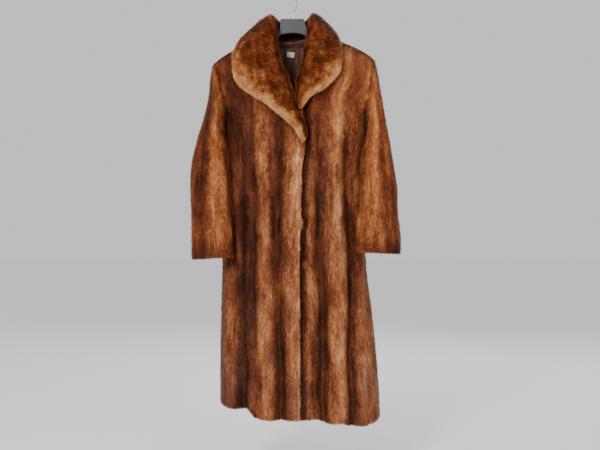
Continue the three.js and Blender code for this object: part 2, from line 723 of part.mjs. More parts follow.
// Joining and cutting closed meshes.
function solidOf(geometry, matrix = new THREE.Matrix4()) {
  const plain = geometry.clone().applyMatrix4(matrix);
  plain.deleteAttribute("normal");
  plain.deleteAttribute("uv");
  const merged = mergeVertices(plain, 1e-3);
  return new wasm.Manifold(
    new wasm.Mesh({
      numProp: 3,
      vertProperties: new Float32Array(merged.attributes.position.array),
      triVerts: new Uint32Array(merged.index.array),
    }),
  );
}

function geometryOf(solid) {
  const { vertProperties, triVerts } = solid.getMesh();
  const geometry = new THREE.BufferGeometry();
  geometry.setAttribute("position", new THREE.BufferAttribute(new Float32Array(vertProperties), 3));
  geometry.setIndex([...triVerts]);
  geometry.computeVertexNormals();
  return geometry;
}

// An extrusion of an XZ outline, from one Y to another.
function extrudeAlongY(shape, fromY, toY, curveSegments = 8) {
  const options = { depth: toY - fromY, bevelEnabled: false, curveSegments };
  const geometry = new THREE.ExtrudeGeometry(shape, options);
  const stand = new THREE.Matrix4().makeRotationX(Math.PI / 2);
  return geometry.applyMatrix4(stand).translate(0, toY, 0);
}

function blockSolid() {
  const shape = new THREE.Shape();
  const corner = 5;
  shape.moveTo(block.footLeft, block.footZ);
  shape.lineTo(block.topLeft - 2, block.topZ - 30);
  shape.lineTo(block.topLeft, block.topZ - corner);
  shape.quadraticCurveTo(block.topLeft, block.topZ, block.topLeft + corner, block.topZ);
  shape.lineTo(block.topRight - corner, block.topZ);
  shape.quadraticCurveTo(block.topRight, block.topZ, block.topRight + 1, block.topZ - corner);
  shape.lineTo(block.footRight - 3, block.topZ - 30);
  shape.lineTo(block.footRight, block.footZ);
  const archMid = (block.footLeft + block.footRight) / 2;
  shape.quadraticCurveTo(archMid, block.footZ + 2 * archHeight, block.footLeft, block.footZ);
  return solidOf(extrudeAlongY(shape, -blockHalfDepth, blockHalfDepth));
}

function recessSolid() {
  const shape = new THREE.Shape();
  const radius = recess.height / 2;
  const midZ = recess.topZ - radius;
  shape.absarc(recess.left + radius, midZ, radius, Math.PI / 2, (3 * Math.PI) / 2);
  shape.absarc(recess.right - radius, midZ, radius, -Math.PI / 2, Math.PI / 2);
  return solidOf(extrudeAlongY(shape, -blockHalfDepth - 1, -blockHalfDepth + recess.deep));
}

// The height of an arm's top. It follows the inside of the shoulder that rests on it, which runs straight
// from the ridge to the panels' next row, and steps up to the block's foot in the open neck.
function armTopZ(x, y) {
  const nextRow = radians(shoulderRows[shoulderRows.length - 2]);
  const face = y < 0 ? -1 : 1;
  const insideAt = (climb) => {
    const normal = coatNormal(x, climb, face);
    const at = x + furWall * normal.x;
    return coatPoint(at, climb, face).addScaledVector(coatNormal(at, climb, face), -furWall);
  };
  const top = insideAt(Math.PI / 2);
  const next = insideAt(nextRow);
  const share = Math.abs(y) / Math.abs(next.y);
  const intoNeck = Math.min(x - neckCorners.right, neckCorners.left - x);
  const lift = furWall * THREE.MathUtils.smoothstep(intoNeck, 5, 14);
  return THREE.MathUtils.lerp(top.z, next.z, share) - armClear.ridge - armClear.edge * share + lift;
}

function armSolid(side) {
  const tops = [];
  const feet = [];
  for (let i = 0; i <= arm.steps; i += 1) {
    const share = i / arm.steps;
    const x = THREE.MathUtils.lerp(armStarts[side], armEnds[side], share);
    const roundEnd = Math.sqrt(1 - Math.max(0, (share - 0.86) / 0.16) ** 2);
    const halfDepth = THREE.MathUtils.lerp(arm.neckHalfDepth, arm.tipHalfDepth, share ** 0.7) * roundEnd;
    const deepening = 0.35 + 0.65 * THREE.MathUtils.smoothstep(share, 0, 0.2);
    const deep = THREE.MathUtils.lerp(arm.neckDeep, arm.tipDeep, share) * deepening;
    const topRow = [];
    const footRow = [];
    for (let j = 0; j <= arm.across; j += 1) {
      const y = halfDepth * ((2 * j) / arm.across - 1);
      const edgeRound = 1 - Math.abs((2 * j) / arm.across - 1) ** 3;
      const topZ = Math.min(armTopZ(x, y), block.footZ + 5);
      topRow.push(new THREE.Vector3(x, y, topZ));
      footRow.push(new THREE.Vector3(x, y, topZ - deep * (0.55 + 0.45 * edgeRound)));
    }
    tops.push(topRow);
    feet.push(footRow);
  }
  return solidOf(wallGeometry(tops, feet, false));
}

function hangerBody() {
  const solid = blockSolid().subtract(recessSolid()).add(armSolid("right")).add(armSolid("left"));
  return mesh("hanger_body", geometryOf(solid), colours.plastic, 0.45);
}

// The steel wire hook, drawn flat and then turned so that it is nearly edge-on from the front.
function hangerHook() {
  const centreZ = -wire.hookRadius;
  const radius = wire.hookRadius + wire.radius;
  const flat = [];
  flat.push([0, block.topZ + seamGap]);
  flat.push([0, block.topZ + 12]);
  flat.push([1, wire.shankTopZ]);
  for (let angle = -38; angle <= 200; angle += 17) {
    flat.push([radius * Math.cos(radians(angle)), centreZ + radius * Math.sin(radians(angle))]);
  }
  const turn = radians(wire.turnedFromFront);
  const points = flat.map(([u, z]) => new THREE.Vector3(u * Math.cos(turn), u * Math.sin(turn), z));
  const path = new THREE.CatmullRomCurve3(points, false, "centripetal");
  const section = new THREE.Shape();
  section.absarc(0, 0, wire.radius, 0, 2 * Math.PI);
  const options = { extrudePath: path, steps: 40, curveSegments: 4 };
  const geometry = new THREE.ExtrudeGeometry(section, options);
  return mesh("hanger_hook", geometry, colours.steel, 0.3, 1);
}

const coat = new THREE.Group();
coat.name = "coat";
coat.add(
  mesh("right_front", panelWall(rightFront), colours.fur, 0.85),
  mesh("left_front", panelWall(leftFront), colours.fur, 0.85),
  mesh("back", panelWall(back), colours.fur, 0.85),
  sleeve("right_sleeve", "right", rightSleeveSections),
  sleeve("left_sleeve", "left", leftSleeveSections),
  collar(),
  insideBack("neck_facing", neckFacing, colours.facing, 0.6),
  insideBack("back_lining", backLining, colours.lining, 0.4),
  sizeLabel(),
);

const hanger = new THREE.Group();
hanger.name = "hanger";
hanger.add(hangerBody(), hangerHook());

const hangingCoat = new THREE.Group();
hangingCoat.add(coat, hanger);

export default hangingCoat;
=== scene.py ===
import math
import bpy
import numpy as np
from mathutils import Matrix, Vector


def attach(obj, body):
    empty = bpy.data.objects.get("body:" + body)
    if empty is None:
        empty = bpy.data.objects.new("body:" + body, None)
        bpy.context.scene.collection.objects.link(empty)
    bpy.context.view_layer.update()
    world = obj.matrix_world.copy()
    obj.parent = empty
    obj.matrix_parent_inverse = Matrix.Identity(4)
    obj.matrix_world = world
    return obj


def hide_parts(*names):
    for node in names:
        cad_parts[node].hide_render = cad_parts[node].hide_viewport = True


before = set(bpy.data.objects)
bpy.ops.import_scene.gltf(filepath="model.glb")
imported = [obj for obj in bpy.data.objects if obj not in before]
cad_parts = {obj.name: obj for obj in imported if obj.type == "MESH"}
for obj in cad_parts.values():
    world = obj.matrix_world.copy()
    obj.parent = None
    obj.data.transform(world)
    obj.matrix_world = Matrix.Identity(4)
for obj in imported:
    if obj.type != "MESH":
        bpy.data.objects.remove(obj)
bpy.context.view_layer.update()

# A full-length fur coat on a broad plastic hanger. Shapes are worked out in millimetres, in the part's own
# frame, and become metres when a mesh is made. Left and right are the wearer's.

coat = {
    "wall": 8.0,  # hide and laid pile, as deep as the part's walls
    "hide": 3.4,  # how far under the pile's outside the hide lies
    "seamHide": 1.6,  # and beside a seam or a free edge, where the pile thins out
    "seamGap": 0.3,
    "midX": 14.0,
    "chestZ": -340.0,
    "hemZ": -1236.0,
    "drop": 228.0,
    "hemReach": 0.22,
    "armholeHalfDepth": 56.0,
    "neckMidX": -11.0,
    "neckHalfWidth": 62.0,
    "neckDrop": 22.0,
    "wrapInset": 11.0,
    "ripple": 1.7,  # the small unevenness of hanging fur
}
bodySections = {
    "z": [-1236, -1080, -920, -790, -640, -500, -400, -340],
    "rightSide": [-213, -214, -211, -207, -204, -205, -204, -198],
    "leftSide": [252, 243, 228, 213, 209, 213, 214, 211],
    "front": [98, 96, 94, 92, 91, 91, 91, 91],
    "back": [90, 89, 87, 86, 85, 84, 83, 82],
    "seamY": [4, 5, 9, 17, 24, 24, 18, 4],
    "round": [2.2, 2.2, 2.1, 1.85, 1.65, 1.7, 1.9, 2.2],
}
ridgeLine = {
    "x": [-231, -216, -170, -113, -73, -11, 51, 101, 150, 195, 224, 236],
    "z": [-196, -183, -156, -134, -118, -108, -112, -122, -138, -158, -176, -187],
}
hemLine = {
    "x": [-213, -180, -136, -112, -60, 19, 70, 98, 145, 172, 215, 252],
    "z": [-1200, -1206, -1208, -1228, -1235, -1234, -1231, -1244, -1246, -1254, -1256, -1242],
}
rightEdge = {"z": [-1236, -780, -660, -500, -430, -340], "x": [19, 18, 20, 26, 35, 25]}
underlap = {"z": [-1236, -680, -340], "x": [26, 38, 48]}  # how far the left front runs on under the right
necklines = {
    "up": [0, 0.18, 0.38, 0.6, 0.82, 1],
    "right": [25, 2, -34, -56, -69, -73],
    "left": [-23, -8, 28, 42, 49, 51],
}
foldHeights = [-1236, -680, -340]  # the hem, the cuffs and the chest, as in each fold's rows


# A smooth curve through one column of a table, read at values of another column.
def curve(table, along, column, value):
    xs, ys = np.array(table[along], float), np.array(table[column], float)
    if xs[0] > xs[-1]:
        xs, ys = xs[::-1], ys[::-1]
    value = np.clip(value, xs[0], xs[-1])
    i = np.clip(np.searchsorted(xs, value, "left") - 1, 0, len(xs) - 2)
    after = np.minimum(np.arange(len(xs)) + 1, len(xs) - 1)
    before = np.maximum(np.arange(len(xs)) - 1, 0)
    slopes = (ys[after] - ys[before]) / (xs[after] - xs[before])
    span = xs[i + 1] - xs[i]
    t = (value - xs[i]) / span
    ease = 3 * t**2 - 2 * t**3
    bend = slopes[i] * (t**3 - 2 * t**2 + t) + slopes[i + 1] * (t**3 - t**2)
    return ys[i] * (1 - ease) + ys[i + 1] * ease + span * bend


def smooth(value, low, high):
    t = np.clip((value - low) / (high - low), 0, 1)
    return t * t * (3 - 2 * t)


def unit(vectors):
    return vectors / np.maximum(np.linalg.norm(vectors, axis=-1, keepdims=True), 1e-9)


def bodyPlan(z):
    return {name: curve(bodySections, "z", name, z) for name in bodySections if name != "z"}


def sideX(plan, right, up):
    chestSide = np.where(right, plan["rightSide"], plan["leftSide"])
    tip = np.where(right, ridgeLine["x"][0], ridgeLine["x"][-1])
    return chestSide + (tip - chestSide) * up


# The coat's smooth outside. climb is how far below the chest, or the angle over the shoulder above it.
def coatPoint(x, climb, face):
    x, climb, face = np.broadcast_arrays(np.asarray(x, float), climb, face)
    zBelow = coat["chestZ"] + np.minimum(climb, 0) * coat["drop"]
    plan = bodyPlan(zBelow)
    up = np.where(climb > 0, np.sin(climb), 0)
    lean = np.where(climb > 0, np.cos(climb), 1)
    edge = sideX(plan, x < coat["midX"], up)
    share = np.clip((x - coat["midX"]) / (edge - coat["midX"]), 0, 1)
    bulge = np.maximum(0, 1 - share ** plan["round"]) ** (1 / plan["round"])
    roundArmhole = np.sqrt(np.maximum(0, 1 - (2 * up - 1) ** 2))
    armholeY = face * coat["armholeHalfDepth"] * roundArmhole * (1 - bulge) ** 2
    depth = np.where(face < 0, plan["front"], plan["back"])
    y = face * depth * lean * bulge + plan["seamY"] * (1 - up) * (1 - bulge) + armholeY
    rise = coat["chestZ"] + (curve(ridgeLine, "x", "z", x) - coat["chestZ"]) * up
    return np.stack([x, y, np.where(climb > 0, rise, zBelow)], -1)


def coatNormal(x, climb, face):
    across = coatPoint(x + 1, climb, face) - coatPoint(x - 1, climb, face)
    up = coatPoint(x, climb + 0.01, face) - coatPoint(x, climb - 0.01, face)
    return unit(np.cross(across, up)) * -np.asarray(face, float)[..., None]


def climbOf(x, z):
    rise = np.clip((z - coat["chestZ"]) / (curve(ridgeLine, "x", "z", x) - coat["chestZ"]), 0, 1)
    return np.where(z <= coat["chestZ"], (z - coat["chestZ"]) / coat["drop"], np.arcsin(rise))


# Each fold is a valley between two hanging ridges: its X and its depth at the hem, cuffs and chest.
foldLook = {
    "wander": 2.6, "wanderLength": 74, "quiver": 1.6, "quiverLength": 31,  # how its line sways as it hangs
    "deep": 0.8, "deepSway": 0.12, "wide": 1.28, "wideSway": 0.16,  # its depth and width against the table's
    "shade": 0.85, "fullShade": 16,  # how dark the painted shade at its bottom is, and how deep it is where that shade is darkest
}
rightFolds = [
    {"x": [-35, -53, -60], "deep": [33, 25, 9], "width": 13},
    {"x": [-116, -122, -124], "deep": [5, 18, 9], "width": 11},
    {"x": [-148, -152, -158], "deep": [30, 12, 4], "width": 12},
]
leftFolds = [
    {"x": [90, 80, 74], "deep": [31, 22, 8], "width": 12},
    {"x": [176, 167, 156], "deep": [30, 20, 8], "width": 12},
]
backFolds = [
    {"x": [-154, -136, -146], "deep": [26, 14, 4], "width": 13},
    {"x": [-90, -80, -84], "deep": [30, 17, 5], "width": 14},
    {"x": [-14, -8, -14], "deep": [26, 14, 4], "width": 13},
    {"x": [78, 68, 62], "deep": [30, 18, 5], "width": 14},
    {"x": [164, 138, 138], "deep": [27, 13, 4], "width": 13},
]

# Creases finer than the folds, each along its own line of X and Z.
rightCreases = [
    {"x": [-96, -92, -88], "z": [-430, -620, -800], "deep": 3.5, "width": 6},
    {"x": [-20, -14, -10], "z": [-700, -900, -1236], "deep": 3.0, "width": 7},
    {"x": [-182, -178, -186], "z": [-520, -800, -1100], "deep": 3.5, "width": 6},
    {"x": [-84, -76, -72], "z": [-860, -1040, -1236], "deep": 3.0, "width": 6},
]
leftCreases = [
    {"x": [162, 175, 183, 186], "z": [-400, -490, -580, -640], "deep": 5.0, "width": 6},
    {"x": [148, 162, 175, 186], "z": [-500, -580, -630, -680], "deep": 2.6, "width": 3},
    {"x": [112, 116, 122], "z": [-420, -600, -760], "deep": 3.0, "width": 6},
    {"x": [60, 62, 60], "z": [-780, -980, -1236], "deep": 4.0, "width": 6},
    {"x": [132, 138, 140], "z": [-900, -1060, -1236], "deep": 3.5, "width": 7},
    {"x": [212, 216, 222], "z": [-820, -1000, -1236], "deep": 3.5, "width": 7},
]
backCreases = [
    {"x": [-120, -114, -118], "z": [-420, -700, -1000], "deep": 3.5, "width": 7},
    {"x": [-50, -46, -54], "z": [-560, -820, -1236], "deep": 4.0, "width": 7},
    {"x": [26, 30, 34], "z": [-400, -640, -900], "deep": 3.5, "width": 7},
    {"x": [106, 104, 118], "z": [-640, -900, -1236], "deep": 4.0, "width": 7},
    {"x": [-184, -180, -188], "z": [-600, -860, -1180], "deep": 3.0, "width": 6},
    {"x": [190, 188, 204], "z": [-560, -840, -1160], "deep": 3.0, "width": 6},
]

# How light each hanging strip of pelts is, from -1 to 1, along X at the cuffs' height: the strips' own tone,
# with painted light on the folds' ridges and painted shade in their valleys.
rightTones = {
    "x": [-215, -185, -150, -122, -79, -36, -1, 13, 20],
    "tone": [-0.7, -0.3, -0.8, -0.4, 0.5, -0.7, 0.1, 0.8, 0.5],
}
leftTones = {
    "x": [20, 39, 68, 89, 131, 177, 208, 250],
    "tone": [-0.8, -0.7, 0.1, -0.5, 1.3, -0.3, 0.4, -0.2],
}
backTones = {
    "x": [-215, -176, -136, -108, -80, -44, -8, 30, 68, 104, 138, 176, 250],
    "tone": [-0.2, 0.4, -0.5, 0.5, -0.6, 0.6, -0.5, 0.45, -0.6, 0.65, -0.5, 0.4, -0.2],
}


# Where a front is darker or lighter than its strips are.
# Spots beside the right sleeve and just under the collar and lapels are painted shade; the others mottle the
# pelts.
rightSpots = [
    {"x": -176, "z": -366, "wide": 42, "high": 66, "tone": -2.1},
    {"x": -110, "z": -300, "wide": 30, "high": 40, "tone": -0.8},
    {"x": -158, "z": -600, "wide": 26, "high": 190, "tone": -0.7},
    {"x": -162, "z": -1190, "wide": 34, "high": 130, "tone": -1.2},
    {"x": -40, "z": -430, "wide": 26, "high": 60, "tone": -1.1},
    {"x": 16, "z": -490, "wide": 12, "high": 70, "tone": 1.4},
    {"x": -92, "z": -470, "wide": 14, "high": 60, "tone": 0.7},
    {"x": -60, "z": -900, "wide": 22, "high": 70, "tone": 0.5},
]
leftSpots = [
    {"x": 92, "z": -290, "wide": 40, "high": 34, "tone": -1.2},
    {"x": 134, "z": -1180, "wide": 26, "high": 90, "tone": -0.6},
    {"x": 170, "z": -560, "wide": 16, "high": 110, "tone": 0.6},
    {"x": 60, "z": -560, "wide": 18, "high": 120, "tone": 0.5},
    {"x": 62, "z": -1120, "wide": 16, "high": 120, "tone": -0.7},
    {"x": 212, "z": -1080, "wide": 18, "high": 120, "tone": 0.5},
]


# A fold's depth at some height, and how much of it each point has.
def valley(fold, x, z):
    line = {"z": foldHeights, "x": fold["x"], "deep": fold["deep"]}
    start = fold["x"][0]
    wander = foldLook["wander"] * np.sin(z / foldLook["wanderLength"] + start)
    quiver = foldLook["quiver"] * np.sin(z / foldLook["quiverLength"] + 2 * start)
    middle = curve(line, "z", "x", z) + wander + quiver
    deepSway = foldLook["deepSway"] * np.sin(z / 96 + 3 * start)
    deep = curve(line, "z", "deep", z) * (foldLook["deep"] + deepSway)
    width = fold["width"] * (foldLook["wide"] + foldLook["wideSway"] * np.sin(z / 120 + 2 * start))
    return deep, np.exp(-(((x - middle) / width) ** 2))


def foldIn(folds, x, z):
    inwards = 0
    for fold in folds:
        deep, shape = valley(fold, x, z)
        inwards = inwards + deep * shape
    return inwards


def creaseIn(creases, x, z):
    inwards = 0
    for crease in creases:
        top, foot = crease["z"][0], crease["z"][-1]
        fade = smooth(top + 30 - z, 0, 70) * np.maximum(smooth(z, foot - 30, foot + 60), foot < -1200)
        away = (x - curve(crease, "z", "x", z)) / crease["width"]
        inwards = inwards + crease["deep"] * fade * np.exp(-(away**2))
    return inwards


# The slight unevenness of fur that hangs, the same on every run.
def rippleIn(x, z, seed):
    draw = np.random.default_rng(seed)
    total = 0
    for wave in (64, 41, 27, 19):
        phase = draw.uniform(0, 6.28, 3)
        slant = draw.uniform(-0.12, 0.12)
        swell = np.sin(z / (wave * 7.5) + phase[0] + np.sin(x / (wave * 1.7) + phase[1]))
        total = total + wave / 50 * swell * np.sin((x + slant * z) / wave * 3.14 + phase[2])
    return coat["ripple"] * total


def edgeAt(z):
    return curve(rightEdge, "z", "x", z)


def rightIn(x, z):
    return foldIn(rightFolds, x, z)


def leftIn(x, z):
    pastEdge = smooth(x, edgeAt(z) + 4, edgeAt(z) + 26)
    return foldIn(leftFolds, x, z) + coat["wrapInset"] * (1 - pastEdge)


def backIn(x, z):
    return foldIn(backFolds, x, z)


# The shadow that the right front's edge and the lapel throw on the left front.
def underEdge(x, z):
    return 1 - smooth(x, edgeAt(z) + 2, edgeAt(z) + 26)


def backTopShare(x):
    fromMiddle = (x - coat["neckMidX"]) / coat["neckHalfWidth"]
    return 1 - coat["neckDrop"] / 90 * np.sqrt(np.maximum(0, 1 - fromMiddle**2))


def armholeX(right, up):
    return float(sideX(bodyPlan(coat["chestZ"]), right, up))


panels = {
    "right_front": {
        "face": -1, "sides": (None, "right"), "columns": 66, "blades": 70000, "seed": 11, "ridgeLight": 0.45,
        "folds": rightFolds, "creases": rightCreases, "tones": rightTones, "spots": rightSpots,
        "inwards": rightIn, "under": lambda x, z: 0 * x, "topShare": np.ones_like,
        "first": edgeAt, "last": lambda z: bodyPlan(z)["rightSide"],
        "above": lambda up: (curve(necklines, "up", "right", up), armholeX(True, up)),
    },
    "left_front": {
        "face": -1, "sides": (None, "left"), "columns": 72, "blades": 76000, "seed": 12, "ridgeLight": 0.45,
        "folds": leftFolds, "creases": leftCreases, "tones": leftTones, "spots": leftSpots,
        "inwards": leftIn, "under": underEdge, "topShare": np.ones_like,
        "first": lambda z: edgeAt(z) - curve(underlap, "z", "x", z),
        "last": lambda z: bodyPlan(z)["leftSide"],
        "above": lambda up: (curve(necklines, "up", "left", up), armholeX(False, up)),
    },
    "back": {
        "face": 1, "sides": ("right", "left"), "columns": 98, "blades": 94000, "seed": 13, "ridgeLight": 0.1,
        "folds": backFolds, "creases": backCreases, "tones": backTones, "spots": (),
        "inwards": backIn, "under": lambda x, z: 0 * x, "topShare": backTopShare,
        "first": lambda z: bodyPlan(z)["rightSide"], "last": lambda z: bodyPlan(z)["leftSide"],
        "above": lambda up: (armholeX(True, up), armholeX(False, up)),
    },
}
panelRows = {"body": 70, "shoulder": 22, "samples": 420, "ridgeLightFrom": 66}
panelWarmth = {"share": 0.55, "fromZ": -520, "fullZ": -260}  # the warm light that the chest catches


# X values from one edge to another that crowd towards the body's sides, where its plan turns fast.
def acrossX(z, first, last):
    plan = bodyPlan(z)
    half = (coat["midX"] - plan["rightSide"], plan["leftSide"] - coat["midX"])
    shares = [(x - coat["midX"]) / (half[0] if x < coat["midX"] else half[1]) for x in (first, last)]
    ends = np.arcsin(np.clip(shares, -1, 1))
    lean = np.sin(np.linspace(ends[0], ends[1], panelRows["samples"]))
    x = coat["midX"] + lean * np.where(lean < 0, half[0], half[1])
    x[0], x[-1] = first, last
    return x


# Points at even steps of a line's own length, with what else varies along it.
def evenly(line, others, count):
    steps = np.r_[0, np.cumsum(np.linalg.norm(np.diff(line, axis=0), axis=1))]
    at = np.linspace(0, steps[-1], count)
    even = np.stack([np.interp(at, steps, line[:, k]) for k in range(3)], -1)
    return even, [np.interp(at, steps, other) for other in others], at


def armholeNormal(side):
    tipX = ridgeLine["x"][0 if side == "right" else -1]
    tipZ = ridgeLine["z"][0 if side == "right" else -1]
    along = unit(np.array([tipX - armholeX(side == "right", 0), 0, tipZ - coat["chestZ"]]))
    away = -1 if side == "right" else 1
    return np.array([along[2] * away, 0, -along[0] * away])


# A panel's rows of points on the outside of its pile, with each point's tone, its painted light and shade,
# and its place in the pelt.
def panelGrid(panel):
    face = panel["face"]
    rows, paintedLights, tones, places = [], [], [], []
    chestX = acrossX(coat["chestZ"], panel["first"](coat["chestZ"]), panel["last"](coat["chestZ"]))
    chestShare = (chestX - chestX[0]) / (chestX[-1] - chestX[0])
    spread = np.r_[0, np.cumsum(np.abs(np.diff(chestX)) + 0.2)]
    spread /= spread[-1]
    firstFold = np.array(panel["folds"][0]["x"])
    sway = firstFold - firstFold[1]  # the strips hang as the first fold does

    # Painted light: shade painted into each fold's valley and under the right front's edge, and the strip's
    # tone.
    def looks(x, z):
        under = panel["under"](x, z)
        shade = under
        for fold in panel["folds"]:
            deep, shape = valley(fold, x, z)
            shade = shade + foldLook["shade"] * shape**0.6 * np.minimum(1, deep / foldLook["fullShade"])
        strip = x - 0.5 * np.interp(z, foldHeights, sway)
        tone = np.interp(strip, panel["tones"]["x"], panel["tones"]["tone"])
        for spot in panel["spots"]:
            away = ((x - spot["x"]) / spot["wide"]) ** 2 + ((z - spot["z"]) / spot["high"]) ** 2
            tone = tone + spot["tone"] * np.exp(-away)
        return 1 - np.minimum(1, shade) - 0.3 * under, tone

    def add(line, crest, tone, along):
        even, (crest, tone), at = evenly(line, (crest, tone), panel["columns"])
        rows.append(even)
        paintedLights.append(crest)
        tones.append(tone)
        places.append(np.stack([at - at[-1] / 2, np.full_like(at, along)], -1))

    for share in np.linspace(0, 1, panelRows["body"]):
        z = coat["hemZ"] + (coat["chestZ"] - coat["hemZ"]) * share
        x = acrossX(z, panel["first"](z), panel["last"](z))
        climb = (z - coat["chestZ"]) / coat["drop"]
        line = coatPoint(x, climb, face)
        out = coatNormal(x, climb, face)
        out[:, 2] = 0
        sunk = panel["inwards"](x, z) + creaseIn(panel["creases"], x, z) + rippleIn(x, z, panel["seed"])
        line -= unit(out) * sunk[:, None]
        fade = max(0, 1 - share / coat["hemReach"]) ** 2
        line[:, 2] += (curve(hemLine, "x", "z", x) - coat["hemZ"]) * fade
        add(line, *looks(x, z), z)
    chestFold = panel["inwards"](chestX, coat["chestZ"])
    chestRipple = rippleIn(chestX, coat["chestZ"], panel["seed"])
    crest, tone = looks(chestX, coat["chestZ"])
    for angle in np.linspace(0, 90, panelRows["shoulder"] + 1)[1:]:
        up = math.sin(math.radians(angle))
        start, end = panel["above"](up)
        share = chestShare + (spread - chestShare) * up**1.5
        x = start + (end - start) * share
        climb = math.radians(angle) * panel["topShare"](x)
        out = coatNormal(x, np.minimum(climb, 1.5), face)
        sunk = chestFold * (1 - up) + chestRipple * (1 - up**2)
        ridge = smooth(angle, panelRows["ridgeLightFrom"], 90)  # painted light: the ridge is painted paler, for its pile catches less light
        paintedLightUp = crest * (1 - up) + up + panel["ridgeLight"] * ridge
        line = coatPoint(x, climb, face) - out * sunk[:, None]
        add(line, paintedLightUp, tone * (1 - 0.6 * up), coat["chestZ"] + coat["drop"] * up)
    return np.array(rows), np.array(paintedLights), np.array(tones), np.array(places)


def gridNormals(rows, wraps):
    if wraps:
        across = np.roll(rows, -1, 1) - np.roll(rows, 1, 1)
    else:
        across = np.gradient(rows, axis=1)
    return unit(np.cross(across, np.gradient(rows, axis=0)))


def ringNormals(rings):
    normals = gridNormals(rings, True)
    outwards = np.einsum("ijk,ijk->ij", normals, rings - rings.mean(1, keepdims=True)).mean()
    return normals if outwards > 0 else -normals


# How deep the hide lies over a panel's grid. It comes up towards the top and the two sides.
def hideDepth(high, wide):
    fromTop = np.arange(high)[::-1, None] / 5
    fromSide = np.minimum(np.arange(wide), np.arange(wide)[::-1])[None, :] / 3
    inwards = smooth(np.minimum(fromTop, fromSide), 0, 1)
    return coat["seamHide"] + (coat["hide"] - coat["seamHide"]) * inwards


# The hide of a panel: its outer and inner points, and the outward direction at each.
def panelHide(panel):
    rows, paintedLights, tones, places = panelGrid(panel)
    normals = gridNormals(rows, False)
    if (normals[:, :, 1].mean() > 0) != (panel["face"] > 0):
        normals = -normals
    flat = normals.copy()
    flat[-1, :, 1] = 0
    for column, side in zip((0, -1), panel["sides"]):
        if side:
            flat[: panelRows["body"], column, 1] = 0
            out = armholeNormal(side)
            above = flat[panelRows["body"]:, column]
            flat[panelRows["body"]:, column] = above - np.outer(above @ out, out)
    flat = unit(flat)
    shift = np.array([0, panel["face"] * coat["seamGap"] / 2, 0])
    outer = rows - flat * hideDepth(rows.shape[0], rows.shape[1])[..., None] + shift
    inner = rows - flat * coat["wall"] + shift * 5  # the inner sides keep further apart
    warmLight = panelWarmth["share"] * smooth(rows[..., 2], panelWarmth["fromZ"], panelWarmth["fullZ"])
    return {
        "outer": outer, "inner": inner, "normals": normals,
        "crest": paintedLights, "tone": tones, "warmLight": warmLight, "place": places,
    }


def addObject(name, data):
    made = bpy.data.objects.new(name, data)
    bpy.context.scene.collection.objects.link(made)
    return made


def meshPiece(name, points, faces, uvs):
    mesh = bpy.data.meshes.new(name)
    faces = np.asarray(faces, np.int32)
    mesh.vertices.add(len(points))
    mesh.vertices.foreach_set("co", (np.asarray(points) * 0.001).astype(np.float32).ravel())
    mesh.loops.add(faces.size)
    mesh.loops.foreach_set("vertex_index", faces.ravel())
    mesh.polygons.add(len(faces))
    mesh.polygons.foreach_set("loop_start", np.arange(0, faces.size, faces.shape[1], dtype=np.int32))
    mesh.update(calc_edges=True)
    mesh.polygons.foreach_set("use_smooth", np.full(len(faces), True))
    layer = mesh.uv_layers.new(name="OFBake")
    layer.data.foreach_set("uv", np.asarray(uvs, np.float32).ravel())
    return addObject(name, mesh)


def keepOnPoints(piece, name, values):
    kept = piece.data.attributes.new(name, "FLOAT_VECTOR", "POINT")
    kept.data.foreach_set("vector", np.asarray(values, np.float32).ravel())


# The faces and map of a closed mesh, turned if they face inwards.
def facedOut(points, faces, uvs):
    a, b, c = (points[faces[:, k]] for k in range(3))
    if np.einsum("ij,ij->i", a, np.cross(b, c)).sum() < 0:
        return faces[:, ::-1], uvs[:, ::-1]
    return faces, uvs


# A closed wall between two grids, and which of its faces lie inside. Its outer side takes the left half of
# its map, and the inner side the right.
def wallPiece(name, outer, inner, wraps):
    high, wide = outer.shape[:2]
    points = np.concatenate([outer.reshape(-1, 3), inner.reshape(-1, 3)])
    spans = wide if wraps else wide - 1
    faces, uvs, inside = [], [], []

    def point(layer, i, j):
        return (layer * high + i) * wide + j % wide

    def place(layer, i, j):
        return np.stack([layer / 2 + 0.01 + 0.48 * j / spans, 0.01 + 0.98 * i / (high - 1)], -1)

    def rim(*corners):
        faces.append(np.stack([point(*corner) for corner in corners], -1))
        uvs.append(np.stack([place(0, i, j) + 0.004 * layer for layer, i, j in corners], 1))
        inside.append(np.zeros(len(faces[-1]), int))

    i, j = [a.ravel() for a in np.meshgrid(np.arange(high - 1), np.arange(spans), indexing="ij")]
    turns = [[(0, 0), (0, 1), (1, 1), (1, 0)], [(0, 0), (1, 0), (1, 1), (0, 1)]]
    for layer in (0, 1):
        faces.append(np.stack([point(layer, i + a, j + b) for a, b in turns[layer]], -1))
        uvs.append(np.stack([place(layer, i + a, j + b) for a, b in turns[layer]], 1))
        inside.append(np.full(len(i), layer))
    j = np.arange(spans)
    foot, top = 0 * j, 0 * j + high - 1
    rim((0, foot, j), (1, foot, j), (1, foot, j + 1), (0, foot, j + 1))
    rim((0, top, j), (0, top, j + 1), (1, top, j + 1), (1, top, j))
    inside[-1] += 0 if wraps else 1
    if not wraps:
        i = np.arange(high - 1)
        first, last = 0 * i, 0 * i + wide - 1
        rim((0, i, first), (0, i + 1, first), (1, i + 1, first), (1, i, first))
        rim((0, i, last), (1, i, last), (1, i + 1, last), (0, i + 1, last))
    faces, uvs = facedOut(points, np.concatenate(faces), np.concatenate(uvs))
    return meshPiece(name, points, faces, uvs), np.concatenate(inside)


print("building the coat's panels")
hides = {name: panelHide(panel) for name, panel in panels.items()}

